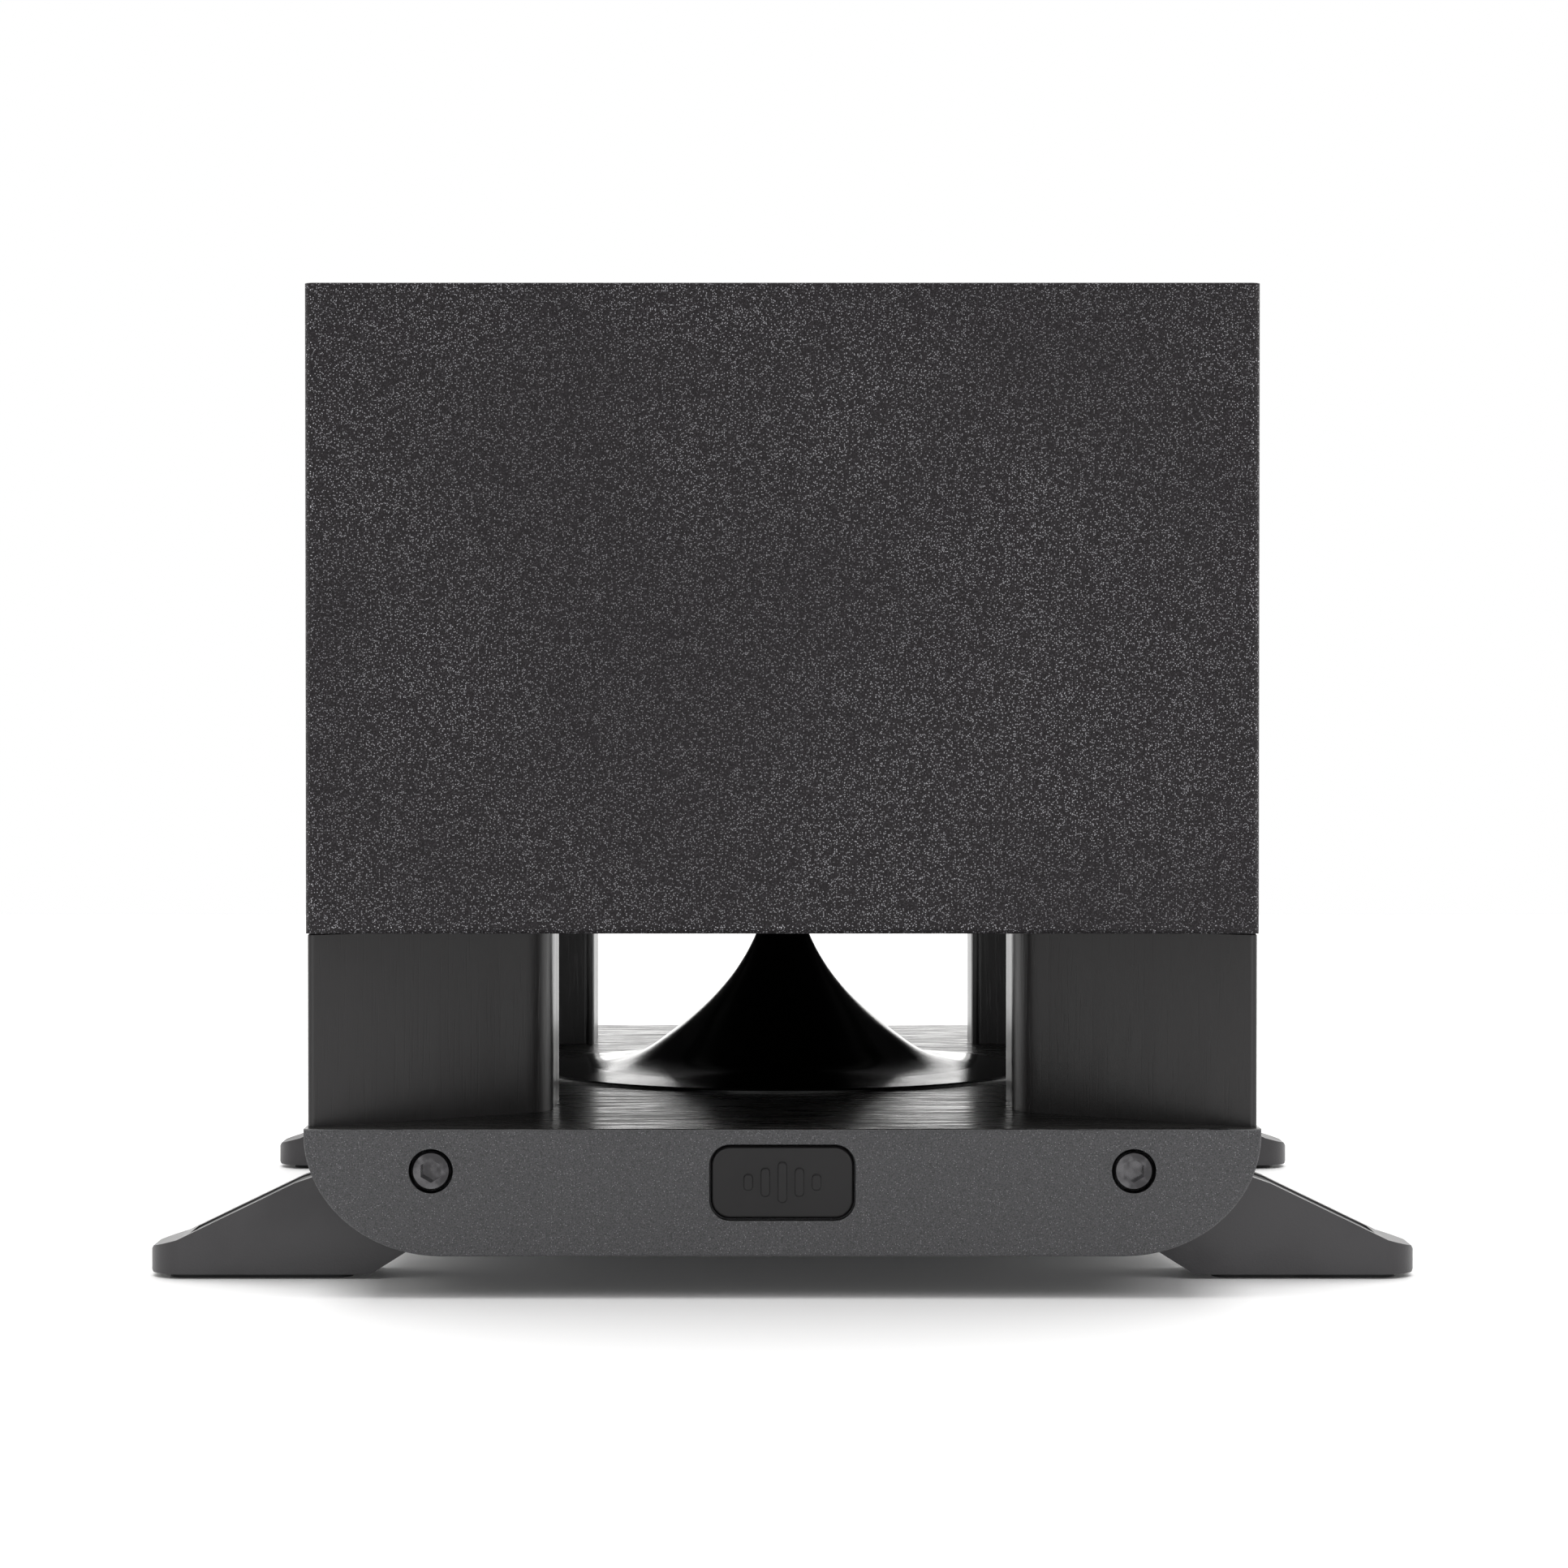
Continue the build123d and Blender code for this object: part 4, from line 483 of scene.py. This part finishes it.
# ---- feet ------------------------------------------------------------------------------------
# Die-cast outriggers, powder coated in satin dark grey, with a soft strip let into each arm and a
# pad glued under each tip.
foot_coat = moulding(
    "foot_coat", (0.033, 0.031, 0.0335), (0.044, 0.042, 0.0445), 0.38, 0.50, 0.00005, grain=1900.0
)
dress(foot_coat, "foot_rear_left", "foot_rear_right", "foot_front_left", "foot_front_right")
basket_coat = moulding(
    "basket_coat", (0.016, 0.016, 0.017), (0.024, 0.024, 0.025), 0.42, 0.55, 0.00006, grain=1700.0
)
dress(basket_coat, "woofer_basket")
soft_rubber = moulding(
    "soft_rubber", (0.010, 0.010, 0.0105), (0.018, 0.018, 0.0185), 0.60, 0.78, 0.00006, grain=1400.0
)
dress(soft_rubber, "foot_inlays", "foot_pads")


# ---- bolts and screws ------------------------------------------------------------------------
# Socket-headed steel bolts and small pan-headed screws in oily black oxide, with fine tool marks
# and stains over each head.
turned_steel, given, end = new_group("turned_steel", {"Marks": 2500.0}, ("Mark", "Stain"))
tree = turned_steel
mark = add(tree, "TexNoise", {"Vector": given["Vector"], "Scale": given["Marks"], "Detail": 4.0})
tree.links.new(mark.outputs[0], end.inputs["Mark"])
stain = add(tree, "TexNoise", {"Vector": given["Vector"], "Scale": 260.0, "Detail": 4.0})
tree.links.new(remap(tree, stain.outputs[0], 0.4, 0.65), end.inputs["Stain"])


def metal(name, dark, pale, smooth, rough, marks, relief=0.00001, **shader_values):
    """Turned or ground metal, stained between two tones."""
    material, tree, shader, place = new_material(name, **shader_values)
    worked = use(tree, turned_steel, place, Marks=marks)
    tree.links.new(mix(tree, worked["Stain"], (*dark, 1), (*pale, 1)), shader.inputs["Base Color"])
    tree.links.new(remap(tree, worked["Stain"], 0.0, 1.0, smooth, rough), shader.inputs["Roughness"])
    bump(tree, shader, worked["Mark"], relief)
    return material


black_oxide = metal(
    "black_oxide", (0.040, 0.039, 0.041), (0.100, 0.098, 0.102), 0.10, 0.24, 2600.0, metallic=0.9
)
dress(
    black_oxide, "foot_bolts", "pillar_bolts", "diffuser_screws", "small_screws", "woofer_screws",
    "tweeter_screws",
)


# ---- woofer motor ----------------------------------------------------------------------------
# Zinc-plated steel plates either side of a ground ferrite ring, glued to the basket.
zinc = metal("zinc_plate", (0.50, 0.50, 0.48), (0.62, 0.62, 0.61), 0.24, 0.40, 1800.0, metallic=1.0)
dress(zinc, "woofer_top_plate", "woofer_yoke", "tweeter_yoke", "grille_magnets", "baffle_magnets")
ferrite = metal("ground_ferrite", (0.035, 0.035, 0.037), (0.060, 0.060, 0.063), 0.50, 0.72, 900.0, 0.00004)
dress(ferrite, "woofer_magnet", "tweeter_magnet")


# ---- voice coils and crossover coils ---------------------------------------------------------
# Enamelled copper wire wound on formers in close turns.
enamel, tree, shader, place = new_material("enamelled_copper", metallic=0.9)
band_width = 0.00377      # one light and one dark band of turns
wave_radians = 20         # radians that the wave runs in a metre at a scale of 1
winding = add(
    tree, "TexWave",
    {"Vector": place, "Scale": 2 * math.pi / band_width / wave_radians, "Distortion": 0.15},
    bands_direction="Y", wave_type="BANDS",
)
shade = mix(tree, winding.outputs[1], (0.30, 0.10, 0.035, 1), (0.74, 0.33, 0.14, 1))
tree.links.new(shade, shader.inputs["Base Color"])
tree.links.new(remap(tree, winding.outputs[1], 0.0, 1.0, 0.50, 0.24), shader.inputs["Roughness"])
bump(tree, shader, winding.outputs[1], 0.00015)
dress(enamel, "woofer_voice_coil", "tweeter_voice_coil", "crossover_inductors")


# ---- woofer cone and dust cap ----------------------------------------------------------------
# Pressed paper pulp with a dark mineral coating. The pulp's fibres show through the coat.
cone_paper, tree, shader, place = new_material("coated_paper")
pulp = use(tree, pressed_fibre, place, Fibres=650.0)
shade = mix(tree, pulp["Fibre"], (0.016, 0.016, 0.0165, 1), (0.034, 0.034, 0.036, 1))
tree.links.new(shade, shader.inputs["Base Color"])
tree.links.new(remap(tree, pulp["Fibre"], 0.0, 1.0, 0.62, 0.44), shader.inputs["Roughness"])
bump(tree, shader, pulp["Height"], 0.00010)
dress(cone_paper, "woofer_cone", "woofer_dust_cap")


# ---- woofer surround -------------------------------------------------------------------------
# A half roll of butyl rubber, glued to the cone's edge inside and to the basket's flange outside.
# It is laid out in equal sectors.
woofer_low, woofer_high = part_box("woofer_gasket")
woofer_axis = ((woofer_low.x + woofer_high.x) / 2, (woofer_low.z + woofer_high.z) / 2)
baffle_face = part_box("front_baffle")[1].y


def solid_from(name, points, faces, material):
    """A new mesh piece from its points and faces."""
    mesh = bpy.data.meshes.new(name)
    mesh.from_pydata(points, [], faces)
    mesh.materials.append(material)
    mesh.polygons.foreach_set("use_smooth", [True] * len(mesh.polygons))
    piece = bpy.data.objects.new(name, mesh)
    scene.collection.objects.link(piece)
    return piece


def ring_sector(name, skin, profile, half_angle, heading, steps, material):
    """A closed piece of a thin ring: a profile of (radius, depth) points, thickened and swept."""
    count = len(profile)
    section = []
    for side in (0.5, -0.5):
        row = []
        for index, (radius, depth) in enumerate(profile):
            before = profile[max(index - 1, 0)]
            after = profile[min(index + 1, count - 1)]
            slope = Vector((after[0] - before[0], after[1] - before[1])).normalized()
            row.append((radius - slope.y * skin * side, depth + slope.x * skin * side))
        section += row if side > 0 else row[::-1]
    points = []
    for step in range(steps + 1):
        angle = heading - half_angle + 2 * half_angle * step / steps
        for radius, depth in section:
            points.append((
                woofer_axis[0] + radius * math.cos(angle),
                baffle_face + depth,
                woofer_axis[1] + radius * math.sin(angle),
            ))
    size = len(section)
    faces = []
    for step in range(steps):
        for index in range(size):
            after = (index + 1) % size
            here, there = step * size, (step + 1) * size
            faces.append((here + index, here + after, there + after, there + index))
    for step, turn in ((0, -1), (steps, 1)):
        first = len(points)
        points += points[step * size:(step + 1) * size]
        for index in range(count - 1):
            quad = (index, index + 1, size - index - 2, size - index - 1)
            faces.append(tuple(first + corner for corner in quad[::turn]))
    return solid_from(name, points, faces, material)


roll_skin = 0.0006
lip_inner, lip_outer = 0.0486, 0.0512
flange_inner, flange_outer = 0.0575, 0.0614
lip_level, flange_level = -0.0047, -0.0019
roll_rise = 0.0046        # crest above the middle of its two edges
roll_profile = [(lip_inner, lip_level), ((lip_inner + lip_outer) / 2, lip_level)]
roll_points = 18
for index in range(roll_points + 1):
    turn = math.pi * index / roll_points
    across = (1 - math.cos(turn)) / 2
    depth = lip_level + (flange_level - lip_level) * across + roll_rise * math.sin(turn)
    roll_profile.append((lip_outer + (flange_inner - lip_outer) * across, depth))
roll_profile += [((flange_inner + flange_outer) / 2, flange_level), (flange_outer, flange_level)]

sectors = 16
half_sector = math.pi / sectors
roll_steps = 10           # facets round each sector
for index in range(sectors):
    heading = 2 * half_sector * index
    name = f"woofer_surround_{index + 1:02d}"
    sector = ring_sector(name, roll_skin, roll_profile, half_sector, heading, roll_steps, soft_rubber)
    out = Vector((math.cos(heading), 0, math.sin(heading)))
    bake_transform(sector)
    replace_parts(sector, "woofer_surround")


# ---- woofer spider ---------------------------------------------------------------------------
# A corrugated disc of resin-dipped cotton that centres the coil, glued to the former and to a
# ledge in the basket. It is laid out in sectors like the surround.
plain_weave, given, end = new_group("plain_weave", {"Threads": 2200.0}, ("Thread", "Height"))
tree = plain_weave
spread = add(tree, "VectorMath", {0: given["Vector"]}, operation="SCALE")
tree.links.new(given["Threads"], spread.inputs["Scale"])
parts = add(tree, "SeparateXYZ", {0: spread.outputs[0]})
warp = calculate(tree, "SINE", calculate(tree, "MULTIPLY", parts.outputs["X"], math.pi))
weft = calculate(tree, "SINE", calculate(tree, "MULTIPLY", parts.outputs["Z"], math.pi))
crossing = calculate(tree, "MULTIPLY", warp, weft)
hump = calculate(tree, "MAXIMUM", calculate(tree, "ABSOLUTE", warp), calculate(tree, "ABSOLUTE", weft))
tree.links.new(remap(tree, hump, 0.2, 0.9), end.inputs["Thread"])
over = calculate(tree, "MULTIPLY", crossing, 0.5)
tree.links.new(calculate(tree, "ADD", over, hump), end.inputs["Height"])

spider_cotton, tree, shader, place = new_material("spider_cotton", roughness=0.8)
cotton = use(tree, plain_weave, place, Threads=2400.0)
shade = mix(tree, cotton["Thread"], (0.30, 0.19, 0.06, 1), (0.56, 0.40, 0.17, 1))
tree.links.new(shade, shader.inputs["Base Color"])
bump(tree, shader, cotton["Height"], 0.00012)

spider_skin = 0.0005
spider_inner, spider_outer = 0.0133, 0.039
spider_seat = 0.006       # flat rim that lies on the basket's ledge
spider_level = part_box("woofer_spider")[0].y - baffle_face + spider_skin / 2
spider_wave = 0.0012
spider_turns = 5
spider_points = 60
spider_steps = 4
reach = spider_outer - spider_seat - spider_inner
spider_profile = []
for index in range(spider_points + 1):
    share = index / spider_points
    wave = spider_wave * (1 - math.cos(2 * math.pi * spider_turns * share)) / 2
    spider_profile.append((spider_inner + reach * share, spider_level + wave))
spider_profile.append((spider_outer, spider_level))
for index in range(sectors):
    heading = 2 * half_sector * index
    name = f"woofer_spider_{index + 1:02d}"
    sector = ring_sector(
        name, spider_skin, spider_profile, half_sector, heading, spider_steps, spider_cotton
    )
    out = Vector((math.cos(heading), 0, math.sin(heading)))
    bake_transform(sector)
    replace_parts(sector, "woofer_spider")


# ---- tweeter dome ----------------------------------------------------------------------------
# Fine woven silk, pressed to a dome with its own half roll and damped with a tacky coat.
dome_silk, tree, shader, place = new_material(
    "dome_silk", roughness=0.5, coat_weight=0.3, coat_roughness=0.35
)
silk = use(tree, plain_weave, place, Threads=3600.0)
shade = mix(tree, silk["Thread"], (0.012, 0.012, 0.013, 1), (0.030, 0.030, 0.032, 1))
tree.links.new(shade, shader.inputs["Base Color"])
bump(tree, shader, silk["Height"], 0.00006)
dress(dome_silk, "tweeter_dome")


# ---- grille cloth ----------------------------------------------------------------------------
# One piece of open black knit, stretched over the moulded frame, turned round its front edge and
# glued down its sides. It dips a little where it spans the two windows.
knit, tree, shader, place = new_material(
    "grille_knit", roughness=0.75, sheen_weight=0.08, sheen_roughness=0.5
)
loops = use(tree, plain_weave, place, Threads=1150.0)
shade = mix(tree, loops["Thread"], (0.004, 0.004, 0.004, 1), (0.016, 0.016, 0.0165, 1))
tree.links.new(shade, shader.inputs["Base Color"])
facing = add(tree, "SeparateXYZ", {0: tree.nodes.new("ShaderNodeTexCoord").outputs["Normal"]})
open_face = remap(tree, facing.outputs["Y"], 0.7, 0.95)
hole = calculate(tree, "MULTIPLY", calculate(tree, "LESS_THAN", loops["Thread"], 0.28), open_face)
tree.links.new(calculate(tree, "SUBTRACT", 1.0, hole), shader.inputs["Alpha"])
bump(tree, shader, loops["Height"], 0.00025)

cloth_skin = 0.0004
cloth_lift = 0.0002       # between the frame and the cloth's back
cloth_turn = 0.0012       # radius of the bend round the frame's front edge
cloth_hem = 0.0116        # how far the cloth reaches back along the sides
cloth_dip = 0.0009        # how far it sinks in a window
dip_reach = 0.016         # distance from a window's edge to the full dip
gather_depth = 0.00022    # height of the gathers at the corners
gather_turn = 2.1         # radians of gather from one point to the next
corner_steps = 10
edge_step = 0.0022
frame_corner = 0.008
frame_rim = 0.011
bar_half = 0.003
window_corner = 0.020
frame_low, frame_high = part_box("grille_frame")
cloth_centre = (frame_low + frame_high) / 2
cloth_half = (frame_high - frame_low) / 2
bar_x = (woofer_high.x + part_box("tweeter_faceplate")[0].x) / 2


def outline(half_x, half_z, corner, arc_steps, side_step):
    """A rounded rectangle's points: where each is, its outward direction, how far it is in a corner."""
    found = []
    for quarter in range(4):
        sign = ((1, 1), (-1, 1), (-1, -1), (1, -1))[quarter]
        centre = (sign[0] * (half_x - corner), sign[1] * (half_z - corner))
        for step in range(arc_steps + 1):
            angle = math.pi / 2 * (quarter + step / arc_steps)
            out = (math.cos(angle), math.sin(angle))
            bend = math.sin(math.pi * step / arc_steps)
            found.append((centre[0] + corner * out[0], centre[1] + corner * out[1], out, bend))
        along = (math.cos(angle + math.pi / 2), math.sin(angle + math.pi / 2))
        length = 2 * ((half_x if quarter % 2 == 0 else half_z) - corner)
        pieces = round(length / side_step)
        x, z = found[-1][0], found[-1][1]
        for step in range(1, pieces):
            run = length * step / pieces
            found.append((x + along[0] * run, z + along[1] * run, out, 0.0))
    return found


def inside_window(x, z):
    """How far a point is inside the nearer window, less its rounded corners."""
    edges = (
        (-cloth_half.x + frame_rim, bar_x - bar_half),
        (bar_x + bar_half, cloth_half.x - frame_rim),
    )
    deepest = 0.0
    for left, right in edges:
        half = ((right - left) / 2 - window_corner, cloth_half.z - frame_rim - window_corner)
        away = (abs(x - (left + right) / 2) - half[0], abs(z) - half[1])
        outside = math.hypot(max(away[0], 0.0), max(away[1], 0.0)) + min(max(away), 0.0)
        deepest = max(deepest, window_corner - outside)
    return deepest


rim_half = (cloth_half.x - cloth_turn, cloth_half.z - cloth_turn)
rim_loop = outline(*rim_half, frame_corner - cloth_turn, corner_steps, edge_step)
around = len(rim_loop)
rings = 48
bend_steps = 5
side_steps = 6
points = [(cloth_centre.x, frame_high.y + cloth_lift - cloth_dip, cloth_centre.z)]
for ring in range(1, rings + 1):
    share = ring / rings
    for x, z, out, bend in rim_loop:
        sag = min(inside_window(x * share, z * share) / dip_reach, 1.0)
        y = frame_high.y + cloth_lift - cloth_dip * sag * sag * (3 - 2 * sag)
        points.append((cloth_centre.x + x * share, y, cloth_centre.z + z * share))
for step in range(1, bend_steps + 1):
    angle = math.pi / 2 * step / bend_steps
    out_by = (cloth_turn + cloth_lift) * math.sin(angle)
    y = frame_high.y + cloth_lift - (cloth_turn + cloth_lift) * (1 - math.cos(angle))
    for x, z, out, bend in rim_loop:
        points.append((cloth_centre.x + x + out[0] * out_by, y, cloth_centre.z + z + out[1] * out_by))
for step in range(1, side_steps + 1):
    share = step / side_steps
    y = frame_high.y - cloth_turn - (cloth_hem - cloth_turn) * share
    for number, (x, z, out, bend) in enumerate(rim_loop):
        gather = gather_depth * bend * share * (1 + math.sin(number * gather_turn))
        out_by = cloth_turn + cloth_lift + gather
        points.append((cloth_centre.x + x + out[0] * out_by, y, cloth_centre.z + z + out[1] * out_by))
faces = [(0, 1 + (index + 1) % around, 1 + index) for index in range(around)]
for ring in range(rings + bend_steps + side_steps - 1):
    here, there = 1 + ring * around, 1 + (ring + 1) * around
    for index in range(around):
        after = (index + 1) % around
        faces.append((here + index, here + after, there + after, there + index))
grille_knit = solid_from("grille_knit_cloth", points, faces, knit)
thicken = grille_knit.modifiers.new("skin", "SOLIDIFY")
thicken.thickness = cloth_skin
thicken.offset = 1.0
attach(grille_knit, "grille")
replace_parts(grille_knit, "grille_cloth")


# ---- crossover -------------------------------------------------------------------------------
# A green board behind the baffle with its coils, taped film capacitors and a cement resistor.
solder_mask, tree, shader, place = new_material("circuit_board", roughness=0.35)
tracks = add(tree, "TexVoronoi", {"Vector": place, "Scale": 160.0}, distance="CHEBYCHEV", feature="F1")
track = remap(tree, tracks.outputs[0], 0.30, 0.36)
shade = mix(tree, track, (0.010, 0.060, 0.022, 1), (0.018, 0.110, 0.040, 1))
tree.links.new(shade, shader.inputs["Base Color"])
bump(tree, shader, track, 0.00004)
dress(solder_mask, "crossover_board")
film_tape = moulding("film_tape", (0.42, 0.30, 0.05), (0.55, 0.41, 0.09), 0.25, 0.45, 0.00002)
dress(film_tape, "crossover_capacitors")
cement = moulding("cement", (0.60, 0.58, 0.52), (0.74, 0.72, 0.66), 0.75, 0.90, 0.00012, grain=1200.0)
dress(cement, "crossover_resistor")


# ---- terminals and binding posts -------------------------------------------------------------
# Gold-flashed brass studs and inserts, with knurled red and black moulded nuts, and the woofer's
# own phenolic tag strip.
phenolic = moulding("phenolic", (0.075, 0.040, 0.020), (0.12, 0.066, 0.034), 0.40, 0.60, 0.00003)
dress(phenolic, "woofer_terminals")
brass = metal("flashed_brass", (0.70, 0.48, 0.19), (0.84, 0.62, 0.29), 0.16, 0.30, 2400.0, metallic=1.0)
dress(brass, "binding_studs", "post_insert_red", "post_insert_black")
red_nut = moulding("red_nut", (0.36, 0.010, 0.010), (0.46, 0.018, 0.016), 0.18, 0.30, 0.00002)
dress(red_nut, "post_cap_red")
black_nut = moulding("black_nut", (0.012, 0.012, 0.012), (0.019, 0.019, 0.020), 0.18, 0.30, 0.00002)
dress(black_nut, "post_cap_black")


# ---- wiring ----------------------------------------------------------------------------------
# Soft stranded leads, red and black by turns, from the terminals to the board and the drivers.
lead_skin, tree, shader, place = new_material("lead_insulation", roughness=0.5)
island = tree.nodes.new("ShaderNodeNewGeometry").outputs["Random Per Island"]
skin = use(tree, moulded_skin, place, Grain=1800.0)
pick = calculate(tree, "GREATER_THAN", island, 0.5)
shade = mix(tree, pick, (0.016, 0.016, 0.017, 1), (0.34, 0.014, 0.012, 1))
shade = mix(tree, calculate(tree, "MULTIPLY", skin["Rub"], 0.2), shade, (0.10, 0.05, 0.05, 1))
tree.links.new(shade, shader.inputs["Base Color"])
bump(tree, shader, skin["Height"], 0.00004)
dress(lead_skin, "wiring_loom")
